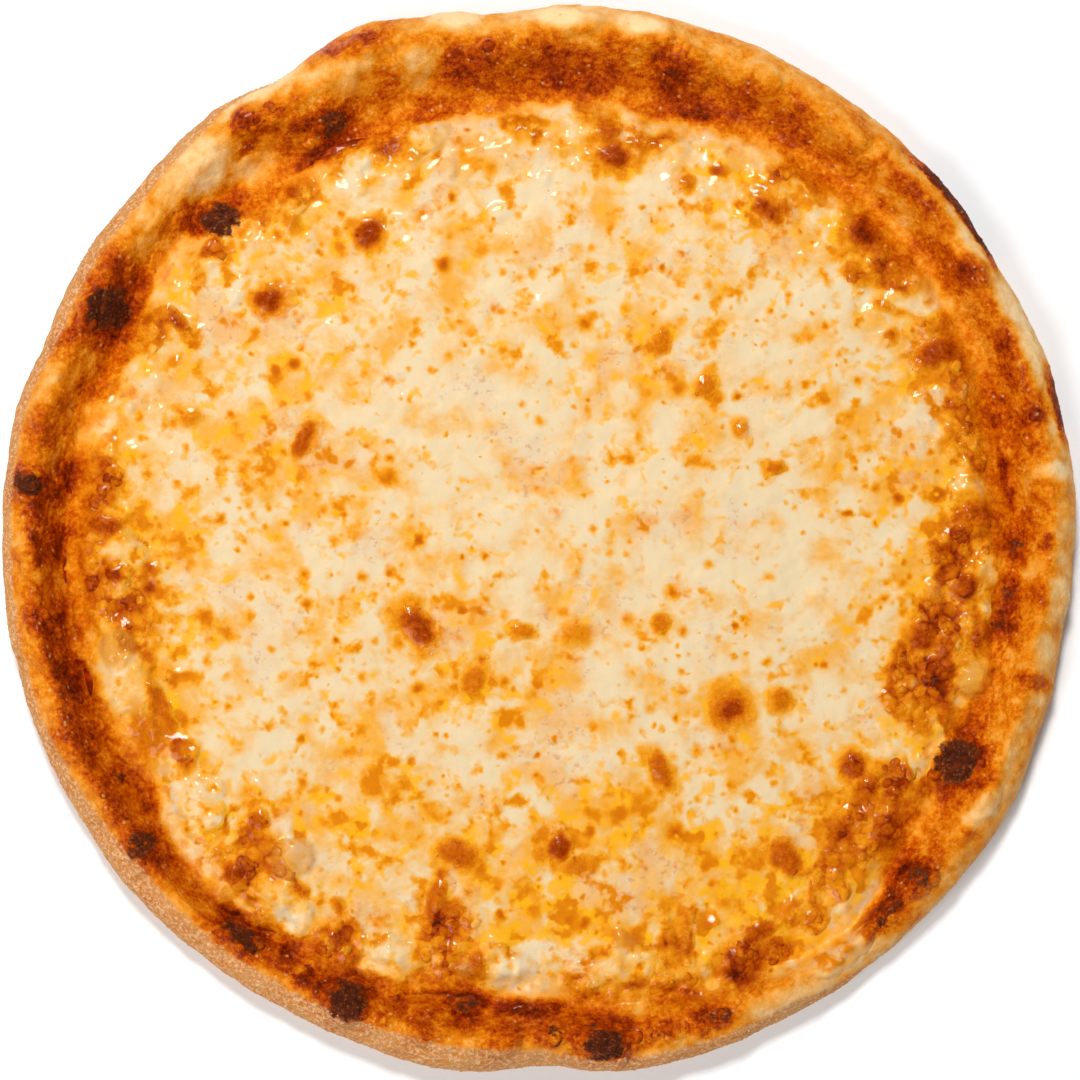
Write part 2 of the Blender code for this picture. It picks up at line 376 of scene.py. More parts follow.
# %% [markdown]
# ## Baked dough
#
# Wheat dough browns by the Maillard reaction, from cream through gold and orange to brown, and at
# last to char. One number per vertex, `bake`, says how far that has gone, and a colour ramp turns
# it into colour, so neighbouring shades always meet in the right order. Fine clouds roughen the
# number first, because a crust browns grain by grain. Flour from the bench clings to the outside as
# a matt, greyish bloom.

# %% Baked dough
DOUGH_STOPS = (
    (0.0, "#F2CE96"),
    (0.15, "#ECBA78"),
    (0.3, "#E79F44"),
    (0.42, "#DF8514"),
    (0.54, "#CC6602"),
    (0.66, "#B44600"),
    (0.78, "#902B00"),
    (0.9, "#6A1900"),
    (1.0, "#430F02"),
)
FLOUR_STOPS = ((0.32, "#94582C"), (0.5, "#C98A54"), (0.68, "#E8C090"))
DOUGH_VALUES = ("bake", "char", "flour")
CHAR_STOPS = ((0.3, "#86390E"), (0.5, "#64290E"), (0.75, "#44190E"), (1.0, "#2C0F0A"))


def charring(tree, where, char, color):
    """The colour with black and brown flakes over it where char is high."""
    flake = add(tree, NOISE, {"Vector": where, "Scale": per_mm(2.2), "Detail": 5, "Roughness": 0.7})
    flake = add(tree, MATH, {0: flake, 1: 1.6, 2: -0.8}, operation="MULTIPLY_ADD")
    ragged = add(tree, MATH, {0: flake, 1: char}, operation="ADD")
    inside = add(tree, RANGE, {0: char, 1: 0.1, 2: 0.4}, **SMOOTH)
    share = add(tree, RANGE, {0: ragged, 1: 0.5, 2: 0.8, 4: inside}, **SMOOTH)
    burnt = add(tree, MATH, {0: ragged, 1: 0.75}, operation="MULTIPLY")
    burnt = add(tree, RAMP, {0: burnt}, stops=CHAR_STOPS)
    ash = add(tree, NOISE, {"Vector": where, "Scale": per_mm(1.0), "Detail": 3, "Roughness": 0.65})
    ash = add(tree, RANGE, {0: ash, 1: 0.54, 2: 0.68, 4: 0.6}, **SMOOTH)
    flakes = add(tree, MIX, {0: ash, 6: burnt, 7: rgb("#8A5A3C")}, **COLOR)
    return add(tree, MIX, {0: share, 6: color, 7: flakes}, **COLOR)


def dough_color(tree, where, bake):
    """The dough's colour where it's baked this far, with its blotches and its grain."""
    blotch = add(
        tree, NOISE, {"Vector": where, "Scale": per_mm(4.5), "Detail": 5, "Roughness": 0.62}
    )
    grain = add(tree, NOISE, {"Vector": where, "Scale": per_mm(1.3), "Detail": 4, "Roughness": 0.7})
    # grains stand out where the crust is roasted, and hardly where it's pale
    depth = add(tree, RANGE, {0: bake, 1: 0.3, 2: 0.6, 3: 0.2, 4: 0.85}, **SMOOTH)
    browned = add(tree, MATH, {0: blotch, 1: 0.56, 2: -0.28}, operation="MULTIPLY_ADD")
    browned = add(tree, MATH, {0: browned, 1: bake}, operation="ADD")
    grainy = add(tree, MATH, {0: grain, 1: 0.5}, operation="SUBTRACT")
    inputs = {0: grainy, 1: depth, 2: browned}
    browned = add(tree, MATH, inputs, operation="MULTIPLY_ADD", use_clamp=True)
    return add(tree, RAMP, {0: browned}, stops=DOUGH_STOPS), grain


def baked_dough():
    """Wheat dough baked on stone: a dry, fine-grained skin, oily only where cheese ran over it."""
    material, tree, shader, where, *values = new_material("baked_wheat_dough", DOUGH_VALUES)
    bake, char, flour = values
    color, grain = dough_color(tree, where, bake)
    # pale specks of semolina and dried cheese stuck in the roast, which also serve as painted
    # glints
    speck_and_glint = add(tree, CELLS, {"Vector": where, "Scale": per_mm(2.6)})
    dice = add(tree, "ShaderNodeSeparateColor", {0: speck_and_glint.node.outputs["Color"]})
    rare = add(tree, RANGE, {0: dice, 1: 0.66, 2: 0.7, 4: 0.6}, **SMOOTH)
    speck_and_glint = add(tree, RANGE, {0: speck_and_glint, 1: 0.26, 2: 0.1, 4: rare}, **SMOOTH)
    color = add(tree, MIX, {0: speck_and_glint, 6: color, 7: rgb("#DFA468")}, **COLOR)
    # flour: a mottled bloom with bare specks
    dusty = add(
        tree, NOISE, {"Vector": where, "Scale": per_mm(1.1), "Detail": 3, "Roughness": 0.75}
    )
    bloom = add(tree, RANGE, {0: dusty, 1: 0.36, 2: 0.5, 3: 0.45, 4: 0.95}, **SMOOTH)
    bloom = add(tree, MATH, {0: bloom, 1: flour}, operation="MULTIPLY")
    powder = add(tree, RAMP, {0: dusty}, stops=FLOUR_STOPS)
    color = add(tree, MIX, {0: bloom, 6: color, 7: powder}, **COLOR)
    tree.links.new(charring(tree, where, char, color), shader.inputs["Base Color"])
    # the roasted inside of the rim is oily, the floury outside matt
    oily = add(tree, RANGE, {0: bake, 1: 0.42, 2: 0.65, 3: 0.58, 4: 0.36}, **SMOOTH)
    dull = add(tree, MATH, {0: bloom, 1: char}, operation="MAXIMUM", use_clamp=True)
    roughness = add(tree, MIX, {0: dull, 2: oily, 3: 0.92})
    tree.links.new(roughness, shader.inputs["Roughness"])
    covered = add(tree, MATH, {0: flour, 1: char}, operation="ADD")
    bare = add(tree, MATH, {0: 0.08, 1: covered}, operation="SUBTRACT", use_clamp=True)
    gloss = add(tree, RANGE, {0: bake, 1: 0.5, 2: 0.7, 4: bare}, **SMOOTH)
    tree.links.new(gloss, shader.inputs["Coat Weight"])
    set_all_over(shader, Specular_IOR_Level=0.2, Specular_Tint=rgb("#FFB26E"), Coat_Roughness=0.12)
    # light goes two millimetres into the crumb, red furthest
    set_all_over(shader, Subsurface_Weight=0.08, Subsurface_Scale=2.0 * MM)
    set_all_over(shader, Subsurface_Radius=(1.0, 0.45, 0.2))
    bump = add(tree, "ShaderNodeBump", {"Strength": 0.8, "Distance": 0.6 * MM, "Height": grain})
    tree.links.new(bump, shader.inputs["Normal"])
    return material


dough_material = baked_dough()
print(f"{dough_material.name}: {len(dough_material.node_tree.nodes)} nodes")

# %% [markdown]
# ## The crust
#
# The rim is a roll of dough that swelled in the oven. A torus with a displacement modifier would
# come close, but its rows would fall where nobody needs them. We carry a profile round the clock
# instead, with a row of points every 0.7 mm on the rim and only a few wide rows under the cheese.
# Each point is then pushed along the rim's normal by the blisters, by clouds of three sizes and by
# the small bubbles of the inner slope.

# %% The crust's shape
SPOKES = 1100
FOOT_SHOWS = 13  # how far inside the rim's foot the dough may still show
FOOT_ROWS = 10
SLOPE_ROWS = 28
WALL_ROWS = 22
UNDERSIDE_ROWS = 9
INNERMOST_ROW = 0.35  # of the foot's radius, under the cheese
FLAT_ROWS = (0.85, 0.3)  # of the underside's radius
BUMPS_FADE = 0.35  # bumps grow over this share of the inner slope
WALL_WAVE = 0.5  # share of the relief that an upright wall keeps
WAVE_HEIGHT = 1.1
LUMP_HEIGHT = 0.6
BUBBLE_HEIGHT = 2.2
GRAIN_HEIGHT = 0.16
CHAR_HEIGHT = 0.3  # added to the grain's where the dough is burnt


def crust_profile():
    """(radius, height, lift) rows of the mean crust; lift says how far blisters raise that row."""
    unseen_radii = (FOOT_RADIUS * INNERMOST_ROW, FOOT_RADIUS - FOOT_SHOWS)
    rows = [(radius, DOUGH_THICKNESS, 0) for radius in unseen_radii]
    for step in range(FOOT_ROWS):
        inside_foot = FOOT_SHOWS * (1 - (step + 1) / (FOOT_ROWS + 1))
        rows.append((FOOT_RADIUS - inside_foot, DOUGH_THICKNESS, 1))
    for step in range(SLOPE_ROWS):
        share = step / SLOPE_ROWS
        radius = FOOT_RADIUS + (CREST_RADIUS - FOOT_RADIUS) * share
        height = DOUGH_THICKNESS + (RIM_HEIGHT - DOUGH_THICKNESS) * float(smooth(share))
        rows.append((radius, height, 1))
    for step in range(WALL_ROWS + 1):
        turn = math.radians(90) * step / WALL_ROWS
        radius = CREST_RADIUS + CREST_SETBACK * math.sin(turn)
        rows.append((radius, WIDEST_HEIGHT + (RIM_HEIGHT - WIDEST_HEIGHT) * math.cos(turn), 1))
    for step in range(1, UNDERSIDE_ROWS + 1):
        turn = math.radians(90) * step / UNDERSIDE_ROWS
        radius = UNDERSIDE_RADIUS + UNDERSIDE_SETBACK * math.cos(turn)
        rows.append((radius, WIDEST_HEIGHT * (1 - math.sin(turn)), 1 - math.sin(turn)))
    return rows + [(UNDERSIDE_RADIUS * share, 0, 0) for share in FLAT_ROWS]


def hand_shaped(clock, radius, height):
    """(x, y, z) of points of the mean round in the uneven one."""
    foot, crest, outline, rim_height = rim_places(clock)
    past_crest = (radius - CREST_RADIUS) / CREST_SETBACK
    share = (radius - FOOT_RADIUS) / (CREST_RADIUS - FOOT_RADIUS)
    wall_radius = crest + (outline - crest) * past_crest
    slope_radius = foot + (crest - foot) * share
    inner_radius = radius * foot / FOOT_RADIUS
    new_radius = np.where(share > 0, slope_radius, inner_radius)
    new_radius = np.where(radius > CREST_RADIUS, wall_radius, new_radius)
    stretch = (rim_height - DOUGH_THICKNESS) / (RIM_HEIGHT - DOUGH_THICKNESS) - 1
    new_height = height + np.maximum(height - DOUGH_THICKNESS, 0) * stretch * smooth(share)
    turn = np.radians(clock)
    return np.stack([new_radius * np.sin(turn), new_radius * np.cos(turn), new_height], 1)


# How pale the outer band of the rim stayed: (clock angle, share)
PALE_BAND = (
    (0, 0.3), (20, 0.26), (35, 0.12), (50, 0.14), (64, 0.26), (80, 0.2), (98, 0.22), (115, 0.2),
    (135, 0.14), (150, 0.24), (162, 0.12), (185, 0.1), (215, 0.08), (240, 0.04), (270, 0.04),
    (300, 0.12), (318, 0.2), (326, 0.26), (338, 0.04), (346, 0.2), (353, 0.3), (360, 0.3),
)  # fmt: skip
# How thickly the rim's inner slope is covered with small bubbles: (clock angle, share)
BUBBLY = (
    (0, 0.25), (20, 0.3), (60, 0.35), (85, 0.8), (120, 1), (135, 0.7), (148, 0.3), (165, 0.8),
    (185, 1), (215, 1), (230, 0.7), (260, 0.9), (300, 0.9), (330, 0.7), (345, 0.4), (360, 0.25),
)  # fmt: skip


def clock_and_radius(points):
    """The clock angle and the distance from the centre of each point."""
    clock = np.degrees(np.arctan2(points[:, 0], points[:, 1])) % 360
    return clock, np.hypot(points[:, 0], points[:, 1])


def small_bubbles(points):
    """How far the small bubbles of the rim's inner slope stand up, 0 to 1."""
    clock, radius = clock_and_radius(points)
    outline = rim_places(clock)[2]
    share = np.interp(clock, *zip(*BUBBLY)) * smooth((outline - 4 - radius) / 6)
    stirred = wandered(points, 3.5, 0.8, 8)
    return share * np.maximum(cobbles(stirred, 5.5, 9), 0.7 * cobbles(stirred, 3, 10))


def dough_relief(points):
    """How far the dough rose, in millimetres: blisters anywhere, small bumps only on the rim."""
    clock, radius = clock_and_radius(points)
    foot, crest = rim_places(clock)[:2]
    on_rim = smooth((radius - foot) / (crest - foot) / BUMPS_FADE)
    swirled = wandered(points, 7, 1.6, 3)
    blown = domes(swirled, DOUGH_BLISTERS)
    waves = clouds(points, 16, 2, 5) * WAVE_HEIGHT + clouds(points, 6, 3, 6) * LUMP_HEIGHT
    risen = waves + BUBBLE_HEIGHT * small_bubbles(points)
    burnt = patches(swirled, CHARRED)
    rough = clouds(points, 1.9, 2, 7) * (GRAIN_HEIGHT + CHAR_HEIGHT * burnt)
    return blown + on_rim * risen + rough * np.maximum(on_rim, burnt)


def profile_normals(rows):
    """How far outward and up each row faces; never inward, so that blisters don't lean in."""
    steps = np.gradient(np.array([row[:2] for row in rows]), axis=0)
    outward = np.maximum(-steps[:, 1], 0)
    up = steps[:, 0]
    length = np.hypot(outward, up) + 1e-9
    return outward / length, up / length


def closed_sheet(rows, spokes):
    """Faces of rows of points round the clock, closed by a fan to a pole at each end."""
    faces = []
    count = rows * spokes
    for row in range(rows - 1):
        for spoke in range(spokes):
            after = (spoke + 1) % spokes
            near, far = row * spokes, (row + 1) * spokes
            faces.append((near + spoke, near + after, far + after, far + spoke))
    for spoke in range(spokes):
        after = (spoke + 1) % spokes
        faces.append((after, spoke, count))
        faces.append((count - spokes + spoke, count - spokes + after, count + 1))
    return faces


def add_piece(name, points, faces, material, values):
    """A mesh object from points in millimetres, with its material and named values."""
    mesh = bpy.data.meshes.new(name)
    mesh.from_pydata((points * MM).tolist(), [], faces)
    for value_name, numbers in values.items():
        value = mesh.attributes.new(value_name, "FLOAT", "POINT")
        value.data.foreach_set("value", numbers.astype(np.float32))
    mesh.shade_smooth()
    mesh.materials.append(material)
    piece = bpy.data.objects.new(name, mesh)
    bpy.context.scene.collection.objects.link(piece)
    return piece


crust_rows = crust_profile()
row_outward, row_up = profile_normals(crust_rows)
row_values = np.array(crust_rows)
spoke_clocks = np.arange(SPOKES) * 360 / SPOKES
clock = np.tile(spoke_clocks, len(crust_rows))
radius, height, lift = (np.repeat(row_values[:, i], SPOKES) for i in range(3))
outward, up = np.repeat(row_outward, SPOKES), np.repeat(row_up, SPOKES)
crust_points = hand_shaped(clock, radius, height)
relief = dough_relief(crust_points) * lift * (WALL_WAVE + (1 - WALL_WAVE) * np.clip(up, 0, 1))
turn = np.radians(clock)
crust_points += np.stack([outward * np.sin(turn), outward * np.cos(turn), up], 1) * relief[:, None]
crust_points[:, 2] = np.maximum(crust_points[:, 2], 0)
print(f"crust: {len(crust_points)} points, relief {relief.min():.1f} to {relief.max():.1f} mm")

# %% [markdown]
# ## How brown the crust is
#
# The same helpers that shaped the dough now colour it. Each vertex gets a few numbers, such as
# `bake`, `char` and `flour`, and the material turns them into colour and gloss. Numbers on the mesh
# keep the colour exactly on the bump that it belongs to, which a pattern laid over the whole rim
# could not do.

# %% The crust's browning
# Where the outer edge touched the hot stone and scorched: (clock angle, share)
SCORCHED_EDGE = (
    (0, 0), (42, 0), (47, 1), (57, 1), (61.5, 0), (70, 0), (73, 0.8), (78, 0.8), (81, 0),
    (360, 0),
)  # fmt: skip
# Floury strip seen from above, between the outline and the golden dough: (clock angle, width)
FLOUR_STRIP = (
    (0, 0), (138, 0), (146, 2), (152, 4.5), (166, 4.5), (176, 4.5), (186, 7.5), (196, 8),
    (206, 6.5), (216, 6.5), (230, 7.5), (240, 6), (250, 4), (270, 4), (285, 4), (296, 5.5),
    (318, 5), (324, 3), (332, 0), (360, 0),
)  # fmt: skip
SCORCHED_WIDTH = 4.4  # how far in from the outline the scorched edge reaches
SCORCH_SPREAD = 5  # how much wider the brown round a burnt spot is than its black
# What a mark of amount 1 adds: a roasted one, a pale one, the brown round a burn, and its black
ROASTED_BAKE = 0.66
PALE_BAKE = 0.8
SCORCHED_BAKE = 0.3
BURNT_CHAR = 0.92
EVEN_BAKE = 0.44  # how brown the dough is where nothing else was said
INNER_BAKE = 0.08  # how much browner it is down the inner slope
BUBBLE_BAKE = 0.16  # what the top of a small bubble adds
BLOTCH_BAKE = 0.14
SPECKLE_BAKE = 0.08
PALE_REACH = 9  # how far the pale band reaches in from the outline


def browning(points):
    """(bake, char) that the named marks add at each point near the rim."""
    swirled = wandered(points, 6, 1.8, 11)
    bake = ROASTED_BAKE * patches(swirled, ROASTED, 0.7)
    bake += PALE_BAKE * patches(swirled, PALE, 0.6)
    burnt = wandered(points, 3.5, 1.5, 13)
    scorched = [
        (clock, radius, length + SCORCH_SPREAD, width + SCORCH_SPREAD, amount)
        for clock, radius, length, width, amount in CHARRED
    ]
    bake += np.maximum(SCORCHED_BAKE * patches(burnt, scorched, 0.6) - np.maximum(bake, 0), 0)
    return bake, BURNT_CHAR * patches(burnt, CHARRED, 0.4)


def dough_bake(points):
    """How brown the dough is all over, before the named marks."""
    clock, radius = clock_and_radius(points)
    foot, crest, outline = rim_places(clock)[:3]
    # browner down the inner slope, where the oven's heat is trapped by the sauce
    inner = smooth((crest + 3 - radius) / (crest - foot))
    outer = smooth((radius - outline + PALE_REACH + 2.5 * clouds(points, 8, 2, 19)) / 5)
    uneven = BLOTCH_BAKE * clouds(points, 9, 3, 15) + SPECKLE_BAKE * clouds(points, 3, 2, 18)
    risen = BUBBLE_BAKE * (small_bubbles(points) - 0.3) * inner
    pale = 0.6 * outer * np.interp(clock, *zip(*PALE_BAND))
    return EVEN_BAKE + INNER_BAKE * inner + uneven + risen - pale


def dough_values(points, radius, clock, height):
    """The numbers that colour the dough at each point, and those that strew lumps over it."""
    bake, char = browning(points)
    crest, outline = rim_places(clock)[1:3]
    strip = np.interp(clock, *zip(*FLOUR_STRIP))
    ragged = 0.7 * clouds(points, 3, 3, 16)
    edge = outline - strip + ragged
    wall = np.where(height < WIDEST_HEIGHT, 1.0, smooth((radius - edge) / 1.2) * (strip > 0.2))
    wall = np.where(radius < crest, 0, wall)
    low = smooth((WIDEST_HEIGHT + 3 - height + clouds(points, 4, 3, 17)) / 3) * (radius > crest)
    under = smooth((1.6 - height) / 1.6)
    scorched = smooth((radius - outline + SCORCHED_WIDTH + ragged) / 1.4)
    scorched *= np.interp(clock, *zip(*SCORCHED_EDGE))
    flour = np.maximum(wall, low * 0.8) * (1 - scorched)
    bake = dough_bake(points) + bake * (1 - 0.5 * low) + 0.2 * under + 0.55 * scorched
    roasted = smooth((bake - 0.5) / 0.25) * smooth((height - WIDEST_HEIGHT) / 2)
    powdery = flour * smooth((height - 0.8) / 1.5)
    bubbly = smooth(np.interp(clock, *zip(*BUBBLY)) * (0.6 + clouds(points, 7, 2, 14)))
    char = np.maximum(char * (1 - 0.7 * low), 0.75 * scorched)
    return {
        "bake": bake,
        "char": char,
        "flour": flour * (1 - 0.4 * under),
        "roasted": roasted,
        "bubbly": bubbly * roasted,
        "powdery": powdery,
        "flaky": char * smooth((height - 1.2) / 1.5),
    }


poles = np.array([[0, 0, DOUGH_THICKNESS], [0, 0, 0]])
all_points = np.concatenate([crust_points, poles])
point_clock, point_radius = clock_and_radius(all_points)
crust = add_piece(
    "crust_dough",
    all_points,
    closed_sheet(len(crust_rows), SPOKES),
    dough_material,
    dough_values(all_points, point_radius, point_clock, all_points[:, 2]),
)
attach(crust, "root")
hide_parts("crust")
print(f"crust: {len(crust.data.polygons)} faces")

# %% [markdown]
# ## Melted mozzarella
#
# Cheese melts to a cream sheet. Its fat comes out as yellow-orange spots, its protein browns where
# steam blows it up into blisters, and a film of oil makes it shine. Numbers on the mesh carry the
# marks that we place, such as `bake` for browning and `oil` for how much of the sheet has turned
# orange. The small spots could be placed too, but there are thousands, so the material draws them
# with Voronoi cells whose radius differs from cell to cell.

# %% Melted mozzarella
CHEESE_STOPS = (
    (0.0, "#DEC9A2"),
    (0.14, "#E0C192"),
    (0.28, "#E2B26C"),
    (0.4, "#E4A038"),
    (0.5, "#E08C10"),
    (0.6, "#CC6F04"),
    (0.7, "#B65202"),
    (0.8, "#943200"),
    (0.9, "#6E1B00"),
    (1.0, "#3C0F04"),
)
# Fat that toasted in round spots: (cell size in mm, largest radius as a share, rarity, palest tone)
ROUND_SPOTS = (
    (13, 0.32, 0.6, 0.58), (8, 0.36, 0.6, 0.52), (5, 0.4, 0.56, 0.46), (3.2, 0.4, 0.62, 0.42),
)  # fmt: skip
MELT_VALUES = ("bake", "oil", "clear", "char", "foamy", "film")


def melted_mozzarella():
    """Mozzarella, melted and set: a soft, waxy cream that light enters, under its own oil."""
    material, tree, shader, where, *values = new_material("melted_mozzarella", MELT_VALUES)
    bake, oil, clear, char, foamy, film = values
    swirl = add(tree, NOISE, {"Vector": where, "Scale": per_mm(9), "Detail": 1}, output="Color")
    stirred = add(tree, VECTOR, {0: swirl, 1: [6 * MM] * 3, 2: where}, operation="MULTIPLY_ADD")
    swirl = add(tree, NOISE, {"Vector": where, "Scale": per_mm(2.6), "Detail": 1}, output="Color")
    gently = add(tree, VECTOR, {0: swirl, 1: [2.0 * MM] * 3, 2: where}, operation="MULTIPLY_ADD")
    # cream, and the wash of fat that spreads through it
    cloud = add(
        tree, NOISE, {"Vector": stirred, "Scale": per_mm(13), "Detail": 4, "Roughness": 0.55}
    )
    fatty = add(tree, MATH, {0: oil, 1: 0.24, 2: cloud}, operation="MULTIPLY_ADD")
    tone = add(tree, RANGE, {0: fatty, 1: 0.43, 2: 0.73, 3: 0.02, 4: 0.39}, **SMOOTH)
    # toasted spots: first ragged ones, then round ones of four sizes, each with a tone of its own
    spot = add(tree, NOISE, {"Vector": gently, "Scale": per_mm(6), "Detail": 3, "Roughness": 0.45})
    spot = add(tree, MATH, {0: oil, 1: 0.24, 2: spot}, operation="MULTIPLY_ADD")
    spot = add(tree, RANGE, {0: spot, 1: 0.6, 2: 0.8, 4: 0.95}, **SMOOTH)
    tone = add(tree, MIX, {0: spot, 2: tone, 3: 0.58})
    for cell, biggest, rarity, palest in ROUND_SPOTS:
        distance = add(tree, CELLS, {"Vector": gently, "Scale": per_mm(cell)})
        dice = add(tree, "ShaderNodeSeparateColor", {0: distance.node.outputs["Color"]})
        chance = add(tree, MATH, {0: oil, 1: 0.5, 2: dice}, operation="MULTIPLY_ADD")
        size = add(tree, RANGE, {0: chance, 1: rarity, 2: rarity + 0.35, 4: biggest}, **SMOOTH)
        core = add(tree, MATH, {0: size, 1: 0.1}, operation="MULTIPLY")
        share = add(tree, RANGE, {0: distance, 1: size, 2: core, 4: 0.92}, **SMOOTH)
        other_dice = dice.node.outputs[1]
        target = add(tree, MATH, {0: other_dice, 1: 0.2, 2: palest}, operation="MULTIPLY_ADD")
        tone = add(tree, MIX, {0: share, 2: tone, 3: target})
    # bubbles in the froth: each cell has its own tone, and painted shade darkens the seams between
    # them
    bubble = add(tree, CELLS, {"Vector": gently, "Scale": per_mm(3.2)})
    own = add(tree, "ShaderNodeSeparateColor", {0: bubble.node.outputs["Color"]})
    own = add(tree, MATH, {0: own, 1: 0.22, 2: -0.14}, operation="MULTIPLY_ADD")
    seam_shade = add(tree, RANGE, {0: bubble, 1: 0.35, 2: 0.8, 4: 0.14}, **SMOOTH)
    froth = add(tree, MATH, {0: own, 1: seam_shade}, operation="ADD")
    # browned cheese is grainy: the fine clouds bite harder there
    fine = add(tree, NOISE, {"Vector": where, "Scale": per_mm(1.3), "Detail": 4, "Roughness": 0.7})
    grain = add(tree, MATH, {0: fine, 1: 0.5}, operation="SUBTRACT")
    depth = add(tree, MATH, {0: bake, 1: 0.36, 2: 0.08}, operation="MULTIPLY_ADD")
    browned = add(tree, MATH, {0: tone, 1: bake}, operation="MAXIMUM")
    browned = add(tree, MATH, {0: froth, 1: foamy, 2: browned}, operation="MULTIPLY_ADD")
    inputs = {0: grain, 1: depth, 2: browned}
    browned = add(tree, MATH, inputs, operation="MULTIPLY_ADD", use_clamp=True)
    color = add(tree, RAMP, {0: browned}, stops=CHEESE_STOPS)
    # pools of clear yellow oil, wherever the cheese isn't toasted
    pool = add(
        tree, NOISE, {"Vector": stirred, "Scale": per_mm(4.8), "Detail": 2, "Roughness": 0.5}
    )
    pool = add(tree, MATH, {0: oil, 1: 0.24, 2: pool}, operation="MULTIPLY_ADD")
    pool = add(tree, RANGE, {0: pool, 1: 0.62, 2: 0.78, 4: 0.88}, **SMOOTH)
    untoasted = add(tree, RANGE, {0: browned, 1: 0.56, 2: 0.44}, **SMOOTH)
    level = add(tree, RANGE, {0: foamy, 1: 0.1, 2: 0.5, 3: untoasted, 4: 0.0}, **SMOOTH)
    pool = add(tree, MATH, {0: pool, 1: level}, operation="MULTIPLY")
    color = add(tree, MIX, {0: pool, 6: color, 7: rgb("#EDA812")}, **COLOR)
    # thin set patches are greyer, with brown crumbs of milk solids
    patch = add(
        tree, NOISE, {"Vector": stirred, "Scale": per_mm(17), "Detail": 3, "Roughness": 0.55}
    )
    patch = add(tree, RANGE, {0: patch, 1: 0.55, 2: 0.66, 4: untoasted}, **SMOOTH)
    grey = add(tree, MATH, {0: patch, 1: 0.35}, operation="MULTIPLY")
    color = add(tree, MIX, {0: grey, 6: color, 7: rgb("#D6BEA2")}, **COLOR)
    crumb = add(tree, NOISE, {"Vector": where, "Scale": per_mm(1.9), "Detail": 3, "Roughness": 0.6})
    crumb = add(tree, RANGE, {0: crumb, 1: 0.56, 2: 0.68, 4: patch}, **SMOOTH)
    crumb = add(tree, MATH, {0: crumb, 1: 0.5}, operation="MULTIPLY")
    color = add(tree, MIX, {0: crumb, 6: color, 7: rgb("#C08050")}, **COLOR)
    # a blown skin is so thin that the brown below shows through it
    skin = add(tree, RANGE, {0: clear, 1: 0.1, 2: 1.0, 4: 0.5}, **SMOOTH)
    color = add(tree, MIX, {0: skin, 6: color, 7: rgb("#C8822E")}, **COLOR)
    # toward its edge the sheet is a film, and the dough shows through
    color = add(tree, MIX, {0: film, 6: color, 7: dough_color(tree, where, bake)[0]}, **COLOR)
    tree.links.new(charring(tree, where, char, color), shader.inputs["Base Color"])
    waxy = add(tree, RANGE, {0: fine, 1: 0.3, 2: 0.7, 3: 0.3, 4: 0.5}, **SMOOTH)
    roughness = add(tree, MIX, {0: char, 2: waxy, 3: 0.92})
    tree.links.new(roughness, shader.inputs["Roughness"])
    set_all_over(shader, Specular_IOR_Level=0.16, Specular_Tint=rgb("#FFB878"), Coat_Roughness=0.05)
    # its oil gleams on the cream, less on what browned, and not on a film or on char
    gleam = add(tree, RANGE, {0: bake, 1: 0.57, 2: 0.78, 3: 0.24, 4: 0.04}, **SMOOTH)
    dry = add(tree, MATH, {0: char, 1: film}, operation="MAXIMUM")
    gleam = add(tree, RANGE, {0: dry, 1: 0.2, 2: 0.6, 3: gleam, 4: 0.02}, **SMOOTH)
    tree.links.new(gleam, shader.inputs["Coat Weight"])
    set_all_over(shader, Subsurface_Weight=0.1, Subsurface_Scale=1.4 * MM)
    set_all_over(shader, Subsurface_Radius=(1.0, 0.5, 0.2))
    # dimples everywhere, and the small bubbles of the froth on top of them
    fine_clouds = {"Vector": gently, "Scale": per_mm(2.8), "Detail": 4, "Roughness": 0.65}
    wrinkles = add(tree, NOISE, fine_clouds)
    dimples = add(tree, NOISE, {"Vector": where, "Scale": per_mm(5), "Detail": 1})
    wrinkled = add(tree, RANGE, {0: bake, 1: 0.35, 2: 0.55, 3: 0.15, 4: 1.0}, **SMOOTH)
    height = add(tree, MATH, {0: wrinkles, 1: wrinkled, 2: dimples}, operation="MULTIPLY_ADD")
    bulge = add(tree, MATH, {0: bubble, 1: foamy}, operation="MULTIPLY")
    height = add(tree, MATH, {0: bulge, 1: -1.1, 2: height}, operation="MULTIPLY_ADD")
    bump = add(tree, "ShaderNodeBump", {"Strength": 0.7, "Distance": 0.9 * MM, "Height": height})
    tree.links.new(bump, shader.inputs["Normal"])
    return material


cheese_material = melted_mozzarella()
print(f"{cheese_material.name}: {len(cheese_material.node_tree.nodes)} nodes")

# %% [markdown]
# ## Where the cheese ends, and what the oven did to it
#
# Grated cheese melts outward until it meets the rim. In some places it ends in a thick lip, in
# others in a film that the dough shows through. It browns most near its edge, foams up there, and
# keeps a few curds that never quite melted. As on the rim, rows of marks say where, and noise does
# the rest.

# %% The edge of the cheese
# Edge of the cheese: (clock angle, radius)
CHEESE_EDGE = (
    (0, 124.5), (18, 126), (30, 130), (45, 134), (60, 135), (80, 132.5), (112, 132.5), (118, 133),
    (124, 135), (134, 137), (138, 140), (141, 144.5), (144, 147), (146.5, 145.5), (150, 141),
    (160, 139.5), (168, 137), (178, 131), (190, 129.5), (198, 134), (204, 135), (209, 136),
    (214, 133), (222, 138), (229, 137), (235, 132), (244, 132), (256, 133), (270, 133),
    (285, 135), (291, 130), (298, 131.5), (303, 134), (307, 134.5), (312, 129), (319, 124),
    (336, 122.5), (350, 122), (360, 124.5),
)  # fmt: skip
